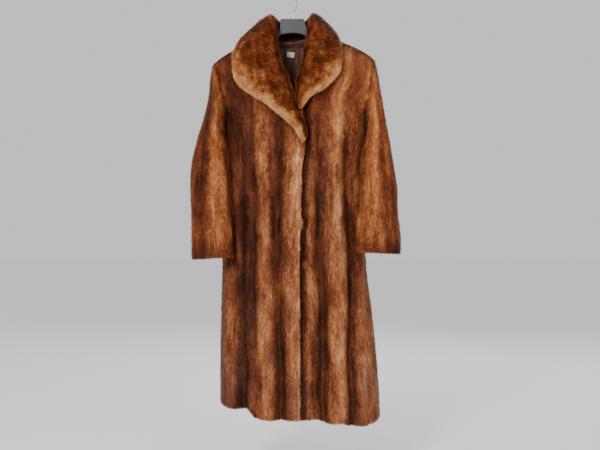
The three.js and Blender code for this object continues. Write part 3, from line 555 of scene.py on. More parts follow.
# Each sleeve's sections from the armhole to the cuff: its outer and inner sides, half its depth, and the
# exponent of its outline, under 2 where a crease runs down its front.
sleeveDepths = {
    "share": list(np.linspace(0, 1, 10)),
    "half": [56, 55, 53, 50, 48, 46, 46, 46, 47, 48],
    "outY": [0, -2, -6, -12, -18, -24, -29, -33, -36, -38],
    "inY": [4, 0, -8, -18, -28, -38, -46, -52, -56, -58],
}
sleeves = {
    "right_sleeve": {
        "side": "right", "seed": 21, "blades": 40000,
        # how light the pile is round the sleeve from its outer side: painted shade on the outer side, away
        # from the light, and painted light on its front
        "turns": [0, 0.08, 0.2, 0.255, 0.28, 0.36, 0.45, 0.55, 0.7, 0.85, 1],
        "tones": [-0.8, -0.8, -0.9, -0.6, 0.45, 0.3, 0.0, -0.4, 0.3, -0.2, -0.8],
        "sections": {
            "outX": [-231, -244, -250, -264, -282, -297, -302, -299, -298, -297],
            "outZ": [-196, -240, -300, -364, -424, -490, -560, -640, -710, -772],
            "inX": [-198, -203, -204, -201, -193, -186, -183, -181, -177, -175],
            "inZ": [-340, -357, -379, -408, -446, -500, -564, -640, -706, -764],
            "round": [2, 2, 2, 1.9, 1.8, 1.75, 1.7, 1.7, 1.75, 1.85],
            **sleeveDepths,
        },
        "creases": [
            {"at": 0.44, "turn": 0.34, "reach": 0.12, "lean": 0.5, "deep": 4.0, "width": 0.022},
            {"at": 0.53, "turn": 0.42, "reach": 0.1, "lean": 0.35, "deep": 3.0, "width": 0.02},
            {"at": 0.3, "turn": 0.4, "reach": 0.1, "lean": 0.7, "deep": 3.5, "width": 0.022},
            {"at": 0.62, "turn": 0.16, "reach": 0.1, "lean": -0.4, "deep": 2.6, "width": 0.02},
            {"at": 0.5, "turn": 0.75, "reach": 0.14, "lean": 0.3, "deep": 3.6, "width": 0.024},
            {"at": 0.38, "turn": 0.68, "reach": 0.1, "lean": -0.4, "deep": 3.0, "width": 0.02},
        ],
    },
    "left_sleeve": {
        "side": "left", "seed": 22, "blades": 40000,
        # the same painted light and shade round the left sleeve
        "turns": [0, 0.07, 0.11, 0.15, 0.25, 0.36, 0.46, 0.55, 0.7, 0.85, 1],
        "tones": [-1.4, -1.3, -0.6, 0.7, 0.9, 0.6, 0.0, -0.4, 0.3, -0.2, -1.4],
        "sections": {
            "outX": [236, 249, 259, 269, 281, 292, 302, 303, 310, 311],
            "outZ": [-187, -238, -300, -364, -428, -496, -566, -636, -702, -756],
            "inX": [211, 216, 217, 213, 204, 197, 195, 189, 184, 184],
            "inZ": [-340, -357, -379, -408, -448, -504, -568, -634, -696, -750],
            "round": [2, 2, 2, 1.9, 1.9, 1.85, 1.85, 1.85, 1.85, 1.9],
            **sleeveDepths,
        },
        "creases": [
            {"at": 0.42, "turn": 0.36, "reach": 0.11, "lean": 0.45, "deep": 3.6, "width": 0.022},
            {"at": 0.55, "turn": 0.38, "reach": 0.1, "lean": 0.3, "deep": 2.8, "width": 0.02},
            {"at": 0.28, "turn": 0.42, "reach": 0.1, "lean": 0.6, "deep": 3.2, "width": 0.022},
            {"at": 0.66, "turn": 0.2, "reach": 0.09, "lean": -0.3, "deep": 2.4, "width": 0.02},
            {"at": 0.48, "turn": 0.72, "reach": 0.14, "lean": 0.35, "deep": 3.4, "width": 0.024},
            {"at": 0.34, "turn": 0.66, "reach": 0.1, "lean": -0.5, "deep": 2.8, "width": 0.02},
        ],
    },
}
sleeveShape = {
    "rows": 72,
    "around": 64,
    "length": 560.0,
    "girth": 330,
    "frontFold": {"turn": 0.17, "deep": 4.5, "width": 0.035},  # the long crease down the sleeve's front
    "backFold": {"turn": 0.8, "deep": 3.5, "width": 0.04},
    "head": 4.0,  # how much the pile rounds the sleeve's head over the armhole seam
    "armpit": 5.0,  # and how much it fills the gap towards the coat's side
    "cuffShade": 1.5,
}


def sleeveHide(sleeve):
    shape = sleeveShape
    turn = np.linspace(0, 1, 481)
    outside, inside = np.maximum(0, np.cos(2 * np.pi * turn)), np.maximum(0, -np.cos(2 * np.pi * turn)) ** 2
    rings, tones, paintedLights, places = [], [], [], []
    out = armholeNormal(sleeve["side"])
    sections = sleeve["sections"]
    for share in np.linspace(0, 1, shape["rows"]):
        at = {name: float(curve(sections, "share", name, share)) for name in sections if name != "share"}
        outPoint = np.array([at["outX"], at["outY"], at["outZ"]])
        inPoint = np.array([at["inX"], at["inY"], at["inZ"]])
        centre, half = (outPoint + inPoint) / 2, (outPoint - inPoint) / 2
        lean = np.cos(2 * np.pi * turn), np.sin(2 * np.pi * turn)
        along, forward = (np.sign(v) * np.abs(v) ** (2 / at["round"]) for v in lean)
        ring = centre + along[:, None] * half
        ring[:, 1] -= at["half"] * forward
        ring += out * coat["seamGap"] * (share == 0)
        sunk = 0
        for fold in (shape["frontFold"], shape["backFold"]):
            sunk = sunk + fold["deep"] * np.exp(-(((turn - fold["turn"]) / fold["width"]) ** 2))
        for crease in sleeve["creases"]:
            away = (turn - crease["turn"] + 0.5) % 1 - 0.5
            across = (share - crease["at"] - crease["lean"] * away) / crease["width"]
            sunk = sunk + crease["deep"] * np.exp(-(across**2) - (away / crease["reach"]) ** 2)
        begin, down = turn[:-1], share * shape["length"]
        blendIn = smooth(begin, 0, 0.1)  # the ripple runs on round the back without a step
        wave = rippleIn(begin * shape["girth"], down, sleeve["seed"]) * blendIn
        wave = wave + rippleIn((begin + 1) * shape["girth"], down, sleeve["seed"]) * (1 - blendIn)
        sunk = (sunk + np.r_[wave, wave[0]]) * smooth(share, 0.04, 0.2)
        fill = shape["head"] * smooth(share, 0, 0.03) * smooth(share, 0.2, 0.03) * outside
        fill = fill + shape["armpit"] * smooth(share, 0.02, 0.1) * smooth(share, 0.4, 0.24) * inside
        ring = ring - unit(ring - centre) * (sunk - fill)[:, None]
        tone = np.interp(turn, sleeve["turns"], sleeve["tones"])
        # painted shade in the sleeve's folds and creases, darker where they sink deeper
        even, (tone, crest, at), _ = evenly(ring, (tone, 1 - sunk / 12, turn), shape["around"] + 1)
        rings.append(even[:-1])
        tone = tone * smooth(share, 0, 0.12) * (1.6 - 1.3 * share)
        tones.append(tone[:-1] - shape["cuffShade"] * smooth(share, 0.86, 0.98))
        paintedLights.append(crest[:-1])
        places.append(np.stack([at[:-1] * shape["girth"], np.full(shape["around"], -down)], -1))
    rings = np.array(rings)
    normals = ringNormals(rings)
    flat = normals.copy()
    flat[0] -= np.outer(flat[0] @ out, out)
    flat = unit(flat)
    fromSeam = smooth(np.arange(len(rings)) / 5, 0, 1)[:, None, None]
    depth = coat["seamHide"] + (coat["hide"] - coat["seamHide"]) * fromSeam
    return {
        "outer": rings - flat * depth, "inner": rings - flat * coat["wall"], "normals": normals,
        "crest": np.array(paintedLights), "tone": np.array(tones), "place": np.array(places),
        # painted warm light, strongest at the sleeve's head
        "warmLight": np.linspace(1, 0.7, len(rings))[:, None] + 0 * np.array(tones),
    }


print("building the sleeves")
hides.update({name: sleeveHide(sleeve) for name, sleeve in sleeves.items()})

# The collar's sections, from the foot of the right lapel round the back of the neck to the left point. Over
# is the angle over the shoulder: 0 at the chest, 90 on the ridge and 180 on the back. Band is where the light
# band along the outer edge begins, as a share of the way across.
collarSections = {
    "share": list(np.linspace(0, 1, 24)),
    "inX": [33, 31, 18, 5, -7, -22, -36, -46, -52, -55, -56, -50,
            -36, -11, 20, 41, 45, 43, 40, 33, 25, 15, 10, 10],
    "inOver": [-20, -13, -4, 4, 12, 21, 29, 38, 49, 64, 84, 101,
               108, 111, 108, 101, 87, 66, 49, 37, 28, 20, 13, 3],
    "outX": [27, 6, -38, -75, -112, -145, -165, -173, -172, -164, -152, -130,
             -74, -11, 48, 94, 119, 131, 137, 133, 118, 88, 52, 19],
    "outOver": [-23, -14, -4, 4, 11, 19, 30, 44, 58, 73, 90, 110,
                134, 141, 135, 118, 92, 68, 50, 35, 25, 16, 10, 1],
    "rise": [0, 0, 0, 0, 0, 0, 1, 4, 12, 27, 37, 40, 41, 41, 41, 39, 36, 26, 12, 4, 1, 0, 0, 0],
    "thick": [9, 18, 22, 24, 25, 26, 26, 26, 26, 25, 24, 24, 24, 24, 24, 24, 24, 25, 26, 26, 26, 25, 22, 14],
    "band": [0.1, 0.15, 0.3, 0.42, 0.52, 0.6, 0.7, 0.76, 0.78, 0.82, 0.88, 0.92,
             0.93, 0.93, 0.93, 0.92, 0.9, 0.88, 0.84, 0.78, 0.68, 0.6, 0.5, 0.4],
}
collarOutline = {
    "share": [0.06, -0.05, -0.02, 0.1, 0.3, 0.52, 0.74, 0.92, 1.01, 0.95, 0.7, 0.4],
    "height": [0, 0.42, 0.8, 1, 1.04, 1, 0.96, 0.82, 0.42, 0, 0, 0],
}
collarShape = {
    "rings": 150,
    "perStep": 4,
    "lift": 2.4,
    "leanRight": 0.36,
    "leanLeft": 0.16,
    "inset": 7.5,
    "lumps": 1.6,
    "blades": 66000,
    "seed": 31,
    "firstStep": 0.7,
    "lastStep": 9.2,  # the stretch of the outline that carries the pile
    "topStep": 6,
    "edgeStep": 8,
    "shade": 0.8,  # how dark the painted shadow under the collar's edge makes the panels' pile
    "shadeReach": 20,
}


# A closed smooth line through a table's column, with some steps between each pair of its values.
def closedLine(values, steps):
    values = np.asarray(values, float)
    t = np.arange(steps) / steps
    line = []
    for i in range(len(values)):
        a, b, c, d = (values[(i + k - 1) % len(values)] for k in range(4))
        bend = (2 * a - 5 * b + 4 * c - d) * t**2 + (3 * b - a - 3 * c + d) * t**3
        line.append(0.5 * (2 * b + (c - a) * t + bend))
    return np.concatenate(line)


def overCoat(x, over):
    face = np.where(over > 90, 1.0, -1.0)
    climb = np.radians(np.where(over > 90, 180 - over, over))
    return coatPoint(x, climb, face), coatNormal(x, climb, face)


# Even noise from -1 to 1 over places in millimetres, the same on every run.
def drift(places, size, seed):
    table = np.random.default_rng(seed).uniform(-1, 1, (64, 64))
    scaled = places / size
    low = np.floor(scaled).astype(int)
    part = scaled - low
    part = part * part * (3 - 2 * part)
    i, j = low[..., 0] % 64, low[..., 1] % 64
    x, y = part[..., 0], part[..., 1]
    near = table[i, j] * (1 - x) + table[(i + 1) % 64, j] * x
    far = table[i, (j + 1) % 64] * (1 - x) + table[(i + 1) % 64, (j + 1) % 64] * x
    return near * (1 - y) + far * y


def collarHide():
    look = collarShape
    shares = np.linspace(0, 1, look["rings"])
    at = {name: curve(collarSections, "share", name, shares)[:, None] for name in collarSections}
    share = closedLine(collarOutline["share"], look["perStep"])[None, :]
    height = closedLine(collarOutline["height"], look["perStep"])[None, :]
    onCoat = np.clip(share, 0, 1)
    x = at["inX"] + (at["outX"] - at["inX"]) * onCoat
    over = at["inOver"] + (at["outOver"] - at["inOver"]) * onCoat
    stand = at["rise"] * np.sin(np.pi * np.maximum(onCoat, 0.03) ** 0.45)
    points, normals = overCoat(x, over)
    points = points + normals * (look["lift"] + height * at["thick"])[..., None]
    points[..., 0] += (at["outX"] - at["inX"]) * (share - onCoat)
    points[..., 2] += height * stand
    inwards = overCoat(at["inX"], at["inOver"])[0] - overCoat(at["outX"], at["outOver"])[0]
    inwards[..., 2] = 0
    leftward = smooth(at["inX"], -40, 25)
    lean = look["leanRight"] * (1 - leftward) + look["leanLeft"] * leftward
    points = points + unit(inwards) * (lean * at["rise"] * height**2 * (1 - onCoat) ** 2)[..., None]
    out = ringNormals(points)
    around = np.cumsum(np.linalg.norm(np.diff(points, axis=1, append=points[:, :1]), axis=2), axis=1)
    crown = points[:, look["topStep"] * look["perStep"]]
    down = np.cumsum(np.linalg.norm(np.diff(crown, axis=0, prepend=crown[:1]), axis=1))
    places = np.stack([around, np.broadcast_to(down[:, None], around.shape)], -1)
    top = smooth(height, 0.02, 0.4) + 0 * at["inX"]
    lumps = look["lumps"] * drift(places, 34, 5) * top + 0.5 * look["lumps"] * drift(places, 15, 6) * top
    inset = np.minimum(look["inset"], 0.27 * at["thick"])
    wander = 0.13 * drift(places, 46, 7) + 0.07 * drift(places, 19, 8)
    golden = smooth(share + wander, at["band"] - 0.16, at["band"] + 0.2) * top
    lapel = smooth(shares[:, None], 0.2, 0.1)
    insideNeck = smooth(share, 0.16, 0.0) * smooth(at["inOver"], 84, 100)
    return {
        "outer": points - out * (inset * (0.35 + 0.65 * top) - lumps)[..., None],
        "normals": out, "place": places,
        "crest": top - 0.9 * insideNeck,  # painted shade where the roll lies on the coat and inside the neck
        "golden": golden, "tone": golden * lapel,  # the lapel's foot is paler all over its band
        "fallen": smooth(share, 0.12, 0.4) + 0 * top,  # the pile falls past the roll, and stands inside it
        "warmLight": 0 * top,
    }


# A closed tube of rings with fanned ends.
def tubePiece(name, rings):
    high, wide = rings.shape[:2]
    points = rings.reshape(-1, 3)
    i, j = [a.ravel() for a in np.meshgrid(np.arange(high - 1), np.arange(wide), indexing="ij")]
    turns = [(0, 0), (0, 1), (1, 1), (1, 0)]
    faces = np.stack([(i + a) * wide + (j + b) % wide for a, b in turns], -1)
    places = [(0.01 + 0.98 * (j + b) / wide, 0.03 + 0.94 * (i + a) / (high - 1)) for a, b in turns]
    uvs = np.stack([np.stack(place, -1) for place in places], 1)
    triangles = np.concatenate([faces[:, [0, 1, 2]], faces[:, [0, 2, 3]]])
    mapped = np.concatenate([uvs[:, [0, 1, 2]], uvs[:, [0, 2, 3]]])
    j = np.arange(1, wide - 1)
    fans = np.stack([0 * j, j + 1, j], -1), np.stack([0 * j, j, j + 1], -1)
    turn = 2 * np.pi * np.arange(wide) / wide
    disc = 0.012 * np.stack([np.cos(turn), np.sin(turn)], -1)
    mapped = np.concatenate([mapped, disc[fans[0]] + (0.5, 0.014), disc[fans[1]] + (0.5, 0.986)])
    triangles = np.concatenate([triangles, fans[0], fans[1] + (high - 1) * wide])
    return meshPiece(name, points, *facedOut(points, triangles, mapped))


# The pile: small bent blades, one to a cell of an even lattice over a hide, each with its place in the map.
piles = {
    "coat": {
        "length": 13.0, "width": 1.7, "firstRise": 36, "lastRise": 9,
        "lay": 0.17, "uneven": 0.34, "bend": 0.42,
    },
    "collar": {
        "length": 11.5, "width": 1.4, "firstRise": 62, "lastRise": 34,
        "lay": 0.34, "uneven": 0.5, "bend": 0.42,
    },
}
pileSway = {
    "wide": 26, "wideTurn": 0.2, "narrow": 9, "narrowTurn": 0.14,  # how the pile's direction drifts
    "tufts": 13, "locks": 5,
    "lengths": 0.18, "edgeLength": 5, "edgeGain": 0.9,  # blades near a free edge are cut shorter
}
whorls = [
    {"x": 26, "z": -664, "radius": 16, "turn": 1.3},
    {"x": 34, "z": -786, "radius": 14, "turn": -1.1},
    {"x": 140, "z": -620, "radius": 26, "turn": 0.5},
    {"x": -90, "z": -520, "radius": 24, "turn": -0.5},
]


def turned(vectors, axes, angles):
    cos, sin = np.cos(angles)[:, None], np.sin(angles)[:, None]
    return vectors * cos + np.cross(axes, vectors) * sin


def pilePiece(name, hide, look, blades, seed, wraps=False, across=None):
    draw = np.random.default_rng(seed)
    grid = hide["outer"]
    high, wide = grid.shape[:2]
    fromU, toU = across or (0, wide if wraps else wide - 1)
    width = np.linalg.norm(np.diff(grid, axis=1), axis=2).sum(1).mean() * (toU - fromU) / (wide - 1)
    length = np.linalg.norm(np.diff(grid, axis=0), axis=2).sum(0).mean()
    columns = max(4, int(round(math.sqrt(blades * width / length))))
    lines = int(blades / columns)
    line, column = [a.ravel() for a in np.meshgrid(np.arange(lines), np.arange(columns), indexing="ij")]
    count = len(line)
    u = fromU + (column + draw.random(count)) / columns * (toU - fromU)
    v = (line + draw.random(count)) / lines * (high - 1)
    i, j = np.minimum(v.astype(int), high - 2), u.astype(int)
    if not wraps:
        j = np.minimum(j, wide - 2)
    p, q = v - i, u - j

    def read(values):
        after = (j + 1) % wide
        corners = values[i, j % wide], values[i, after], values[i + 1, j % wide], values[i + 1, after]
        shares = (1 - p) * (1 - q), (1 - p) * q, p * (1 - q), p * q
        if values.ndim == 3:
            shares = [s[:, None] for s in shares]
        return sum(corner * share for corner, share in zip(corners, shares))

    root, normal = read(grid), unit(read(hide["normals"]))
    flow = read(hide["flow"])
    flow = unit(flow - normal * np.einsum("ij,ij->i", flow, normal)[:, None])
    place, crest, tone, warmLight = (read(hide[name]) for name in ("place", "crest", "tone", "warmLight"))
    golden = read(hide["golden"]) if "golden" in hide else 0 * tone
    wideSway = pileSway["wideTurn"] * drift(place, pileSway["wide"], seed + 1)
    narrowSway = pileSway["narrowTurn"] * drift(place, pileSway["narrow"], seed + 2)
    turn = draw.normal(0, look["lay"], count) + wideSway + narrowSway
    for whorl in () if wraps else whorls:
        away = ((root[:, 0] - whorl["x"]) ** 2 + (root[:, 2] - whorl["z"]) ** 2) / whorl["radius"] ** 2
        turn = turn + whorl["turn"] * np.exp(-away) * (root[:, 1] < 0)
    flow = turned(flow, normal, turn)
    tufts = drift(place, pileSway["tufts"], seed + 3)
    lift = 1 + look["uneven"] * (0.6 * tufts + draw.normal(0, 0.35, count))
    lift = lift * (read(hide["stand"]) if "stand" in hide else 1)
    size = look["length"] * (1 + pileSway["lengths"] * draw.normal(0, 1, count).clip(-1.6, 1.6))
    if "reach" in hide:
        atEdge = pileSway["edgeLength"] + pileSway["edgeGain"] * read(hide["reach"])
        size = np.minimum(size, atEdge + draw.normal(0, 1.2, count))
    rises = look["firstRise"] * lift, look["lastRise"] * lift + draw.normal(0, 4, count)
    first, last = (np.radians(np.clip(rise, 2, 85))[:, None] for rise in rises)
    side = np.cross(flow, normal) * (look["width"] * (0.8 + 0.4 * draw.random(count)) / 2)[:, None]
    bend, size = look["bend"], size[:, None]
    middle = root + (flow * np.cos(first) + normal * np.sin(first)) * bend * size
    tip = middle + (flow * np.cos(last) + normal * np.sin(last)) * (1 - bend) * size
    points = np.stack([root, middle - side, middle + side, tip], 1).reshape(-1, 3)
    base = np.arange(count)[:, None] * 4
    faces = np.concatenate([base + [0, 1, 2], base + [1, 3, 2]], 1).reshape(-1, 3)
    corner = np.stack([column / columns, line / lines], -1)
    cell = np.array([[0.5, 0.92], [0.08, 0.5], [0.92, 0.5], [0.5, 0.08]])
    mapped = corner[:, None, :] + cell[None] / (columns, lines)
    uvs = mapped[:, [0, 1, 2, 1, 3, 2]].reshape(-1, 2)
    piece = meshPiece(name, points, faces, uvs)
    ends = np.tile([0.0, 0.5, 0.5, 1.0], count)
    locks = drift(place, pileSway["locks"], seed + 4)
    lock = np.clip(0.5 + 0.22 * draw.normal(0, 1, count) + 0.2 * locks, 0, 1)
    keepOnPoints(piece, "peltPlace", np.repeat(np.c_[place, np.full(count, seed * 100.0)] * 0.001, 4, 0))
    keepOnPoints(piece, "pile", np.stack([ends, np.repeat(lock, 4), np.repeat(crest, 4)], -1))
    keepOnPoints(piece, "toneAndLight", np.repeat(np.stack([tone, golden, warmLight], -1), 4, 0))
    return piece


def keepHide(piece, hide, layers, seed):
    crest, tone, warmLight = (np.tile(hide[name].ravel(), layers) for name in ("crest", "tone", "warmLight"))
    golden = np.tile(hide["golden"].ravel(), layers) if "golden" in hide else 0 * crest
    place = np.tile(hide["place"].reshape(-1, 2), (layers, 1))
    keepOnPoints(piece, "peltPlace", np.c_[place, np.full(len(place), seed * 100.0)] * 0.001)
    keepOnPoints(piece, "pile", np.stack([0 * crest, 0.3 + 0 * crest, crest], -1))
    keepOnPoints(piece, "toneAndLight", np.stack([tone, golden, warmLight], -1))


print("building the collar")
print("rolling the collar")
hides["collar"] = collarHide()
seamPile = {"frontStand": -0.35, "backStand": -0.8, "over": 1.1, "columns": 5}


# The way the pile lies: down the panels and sleeves, and over the seams at the shoulders and the armholes.
def combPanel(hide, panel):
    rows, columns = hide["outer"].shape[:2]
    front = panel["face"] < 0
    hide["flow"] = -unit(np.gradient(hide["outer"], axis=0))
    ridge = smooth(np.arange(rows), rows - 4, rows - 1)[:, None] + np.zeros(columns)
    hide["stand"] = 1 + seamPile["frontStand" if front else "backStand"] * ridge
    if front:
        hide["flow"][-2:] *= -1
    across = unit(np.gradient(hide["outer"], axis=1))
    steps = np.arange(columns)
    for fromSeam, way, side in zip((steps, steps[::-1]), (-1, 1), panel["sides"]):
        if side:
            near = smooth(fromSeam, seamPile["columns"], 0)[None, :, None]
            hide["flow"] = hide["flow"] + across * near * way * seamPile["over"]


collarRoll = hides["collar"]
collarGrid = collarRoll["outer"]
collarEdge = collarGrid[:, collarShape["edgeStep"] * collarShape["perStep"]]
for name, hide in hides.items():
    steps = np.linalg.norm(np.diff(hide["outer"], axis=0, prepend=hide["outer"][:1]), axis=2)
    fromFirst = np.cumsum(steps, axis=0)
    if name in panels:
        combPanel(hide, panels[name])
        hide["reach"] = fromFirst
        # painted shadow: the panels' pile darkens near the collar's edge
        away = np.linalg.norm(hide["outer"][:, :, None] - collarEdge, axis=-1).min(-1)
        near = np.exp(-((away / collarShape["shadeReach"]) ** 2))
        hide["crest"] = hide["crest"] - collarShape["shade"] * near
    elif name in sleeves:
        hide["flow"] = unit(np.gradient(hide["outer"], axis=0))
        hide["reach"] = fromFirst[-1:] - fromFirst
outwards = unit(np.roll(collarGrid, -1, 1) - np.roll(collarGrid, 1, 1))
collarRoll["flow"] = unit(outwards + collarRoll["fallen"][..., None] * np.array([0, -0.1, -0.55]))

# How each piece of fur is cut before it is sewn: width and length in metres, its area, and what carries it.
cuts = {
    "right_front": {"flat": (0.34, 1.14), "area": 0.3, "on": ["hanger_body"]},
    "left_front": {"flat": (0.36, 1.14), "area": 0.32, "on": ["hanger_body"]},
    "back": {"flat": (0.56, 1.14), "area": 0.55, "on": ["hanger_body"]},
    "right_sleeve": {"flat": (0.33, 0.57), "area": 0.14, "on": ["right_front", "back"]},
    "left_sleeve": {"flat": (0.32, 0.55), "area": 0.135, "on": ["left_front", "back"]},
}


class Wire:
    def __init__(self, tree, socket=None):
        self.tree, self.socket = tree, socket

    def feed(self, socket, value):
        if isinstance(value, Wire):
            self.tree.links.new(value.socket, socket)
        elif socket.type == "RGBA" and len(value) == 3:
            socket.default_value = (*value, 1)
        else:
            socket.default_value = value

    # Any other node: its type, its settings with a ramp's stops among them, then its values and wires.
    def node(self, kind, settings=(), inputs=(), output=0):
        made = self.tree.nodes.new("ShaderNode" + kind)
        settings = dict(settings)
        stops = settings.pop("stops", ())
        for name, value in settings.items():
            setattr(made, name, value)
        for k, (place, colour) in enumerate(stops):
            band = made.color_ramp.elements
            stop = band[k] if k < 1 else band.new(place) if k < len(stops) - 1 else band[-1]
            stop.position, stop.color = place, (*colour, 1)
        for name, value in dict(inputs).items():
            self.feed(made.inputs[name], value)
        return Wire(self.tree, made.outputs[output])

    def maths(self, operation, first, second):
        values = first, second
        wide = any(isinstance(v, tuple) or (isinstance(v, Wire) and v.socket.type != "VALUE") for v in values)
        made = self.tree.nodes.new("ShaderNodeVectorMath" if wide else "ShaderNodeMath")
        made.operation = operation
        for socket, value in zip(made.inputs, values):
            self.feed(socket, (value,) * 3 if wide and isinstance(value, (int, float)) else value)
        return Wire(self.tree, made.outputs[0])

    def mix(self, other, share, blend="MIX"):
        made = self.tree.nodes.new("ShaderNodeMix")
        made.data_type, made.blend_type = "RGBA", blend
        for k, value in ((0, share), (6, self), (7, other)):
            self.feed(made.inputs[k], value)
        return Wire(self.tree, made.outputs[2])

    def part(self, k):
        return self.node("SeparateXYZ", {}, {"Vector": self}, k)

    def __add__(self, other):
        return self.maths("ADD", self, other)

    def __radd__(self, other):
        return self.maths("ADD", other, self)

    def __sub__(self, other):
        return self.maths("SUBTRACT", self, other)

    def __rsub__(self, other):
        return self.maths("SUBTRACT", other, self)

    def __mul__(self, other):
        return self.maths("MULTIPLY", self, other)

    def __rmul__(self, other):
        return self.maths("MULTIPLY", other, self)

    def __truediv__(self, other):
        return self.maths("DIVIDE", self, other)

    def __rtruediv__(self, other):
        return self.maths("DIVIDE", other, self)

    def __pow__(self, other):
        return self.maths("POWER", self, other)


# A colour given as a screen shows it, from 0 to 255.
def paint(*levels):
    return tuple(((v / 255 + 0.055) / 1.055) ** 2.4 if v > 10 else v / 255 / 12.92 for v in levels)


def startMaterial(name, **uniform):
    material = bpy.data.materials.new(name)
    material.use_nodes = True
    tree = material.node_tree
    shader = next(node for node in tree.nodes if node.type == "BSDF_PRINCIPLED")
    for socket, value in uniform.items():
        shader.inputs[socket.replace("_", " ")].default_value = value
    return material, Wire(tree), shader


def noise(wire, place, scale, detail=3, roughness=0.5):
    values = {"Vector": place, "Scale": scale, "Detail": detail, "Roughness": roughness}
    return wire.node("TexNoise", {}, values)


# Colours the shader between two tones along a pattern.
def tinted(wire, shader, pattern, low, dark, high, light):
    colour = wire.node("ValToRGB", {"stops": [(low, dark), (high, light)]}, {"Fac": pattern})
    wire.feed(shader.inputs["Base Color"], colour)


def raised(wire, shader, height, distance, strength):
    bump = wire.node("Bump", {}, {"Height": height, "Distance": distance, "Strength": strength})
    wire.feed(shader.inputs["Normal"], bump)


coatLook = {
    "streaks": (75.0, 9.0, 1.0),  # how fast the tone changes across and along the hair, per metre
    "patches": (20.0, 10.0, 1.0),
    "level": 0.435,
    "toneShare": 0.15,
    "streakShare": 0.32,
    "strandShare": 0.22,
    "patchShare": 0.44,
    "lockShare": 0.34,
    "paintedLightShare": 0.42,
    "tipShare": 0.16,
    "goldShare": 0.0,
    "greySheenShare": 0.5,  # how much painted grey sheen the pile takes in patches towards the hem
    "calmShare": 0.4,  # and how much plainer it is where painted warm light makes it warmer, on the sleeves and shoulders
    "warmLight": (1.0, 0.84, 0.66),
    "greySheen": paint(124, 88, 76),
}
collarLook = {
    "streaks": (90.0, 30.0, 1.0),
    "patches": (34.0, 26.0, 1.0),
    "level": 0.33,
    "toneShare": 0.04,
    "streakShare": 0.34,
    "strandShare": 0.28,
    "patchShare": 0.52,
    "lockShare": 0.36,
    "paintedLightShare": 0.5,
    "tipShare": 0.16,
    "goldShare": 0.39,
    "greySheenShare": 0.0,
    "calmShare": 0.0,
    "warmLight": (1.0, 1.0, 1.0),
    "greySheen": paint(112, 84, 76),
}
furColours = [
    (0.0, paint(42, 18, 12)), (0.2, paint(68, 32, 20)), (0.42, paint(108, 54, 32)),
    (0.62, paint(151, 88, 53)), (0.8, paint(190, 127, 82)), (1.0, paint(222, 172, 126)),
]
collarColours = [
    (0.0, paint(40, 14, 7)), (0.26, paint(74, 28, 13)), (0.48, paint(114, 50, 23)),
    (0.68, paint(156, 86, 45)), (0.85, paint(192, 126, 75)), (1.0, paint(219, 165, 108)),
]


def furMaterial(name, colours, look):
    material, wire, shader = startMaterial(
        name, Roughness=0.5, Specular_IOR_Level=0.22, Sheen_Weight=0.1, Sheen_Roughness=0.4,
    )
    shader.inputs["Sheen Tint"].default_value = (*paint(214, 158, 122), 1)
    shader.inputs["Specular Tint"].default_value = (*paint(232, 186, 156), 1)
    place = wire.node("Attribute", {"attribute_name": "peltPlace"}, output="Vector")
    pile = wire.node("Attribute", {"attribute_name": "pile"}, output="Vector")
    looks = wire.node("Attribute", {"attribute_name": "toneAndLight"}, output="Vector")
    tip, lock, crest = (pile.part(k) for k in range(3))
    tone, golden, warmLight = (looks.part(k) for k in range(3))
    streaks = noise(wire, place * look["streaks"], 1.0, 3, 0.6)
    patches = noise(wire, place * look["patches"], 1.0, 4, 0.6)
    strands = noise(wire, place * (430.0, 34.0, 1.0), 1.0, 2, 0.5)
    light = look["level"] + tone * look["toneShare"] + golden * look["goldShare"]
    light = light + (strands - 0.5) * (2 * look["strandShare"])
    patches = (patches - 0.5) * (1 - warmLight * look["calmShare"])
    light = light + (streaks - 0.5) * (2 * look["streakShare"]) + patches * (2 * look["patchShare"])
    # painted light: lighter on the folds' ridges, and painted shade darker in their valleys and under edges
    light = light + (lock - 0.5) * look["lockShare"] + (crest - 0.75) * look["paintedLightShare"]
    light = light + (tip - 0.4) * look["tipShare"]
    colour = wire.node("ValToRGB", {"stops": colours}, {"Fac": light})
    hem = {"Value": place.part(1), "From Min": -0.62, "From Max": -1.1}
    greying = noise(wire, place * (16.0, 5.0, 1.0), 1.0, 3, 0.55)
    grey = {"Value": greying, "From Min": 0.46, "From Max": 0.7, "To Max": look["greySheenShare"]}
    towardsHem, greyed = (wire.node("MapRange", {}, values) for values in (hem, grey))
    # painted grey sheen towards the hem, fainter in the painted shade of the valleys
    colour = colour.mix(look["greySheen"], greyed * towardsHem * (crest * 0.6 + 0.1))
    # painted warm light multiplies the colour where the chest and sleeves catch it
    wire.feed(shader.inputs["Base Color"], colour.mix(look["warmLight"], warmLight, "MULTIPLY"))
    raised(wire, shader, noise(wire, place * (1400.0, 60.0, 1.0), 1.0, 2), 0.0012, 0.6)
    return material


satinLook = {"colour": paint(78, 48, 36), "sheenColour": paint(132, 90, 68), "roughness": 0.44}


def satinMaterial():
    material, wire, shader = startMaterial(
        "lining_satin", Roughness=satinLook["roughness"], Specular_IOR_Level=0.3,
    )
    place = wire.node("TexCoord", output="Object")
    folds = noise(wire, place * (70.0, 20.0, 2.5), 1.0, 2)
    weave = noise(wire, place * (1800.0, 1800.0, 300.0), 1.0, 1)
    tinted(wire, shader, folds, 0.38, satinLook["colour"], 0.7, satinLook["sheenColour"])
    raised(wire, shader, folds * 6 + weave * 0.05, 0.0008, 0.7)
    return material


facingLook = {"dark": paint(46, 14, 8), "light": paint(106, 40, 22), "roughness": 0.6}


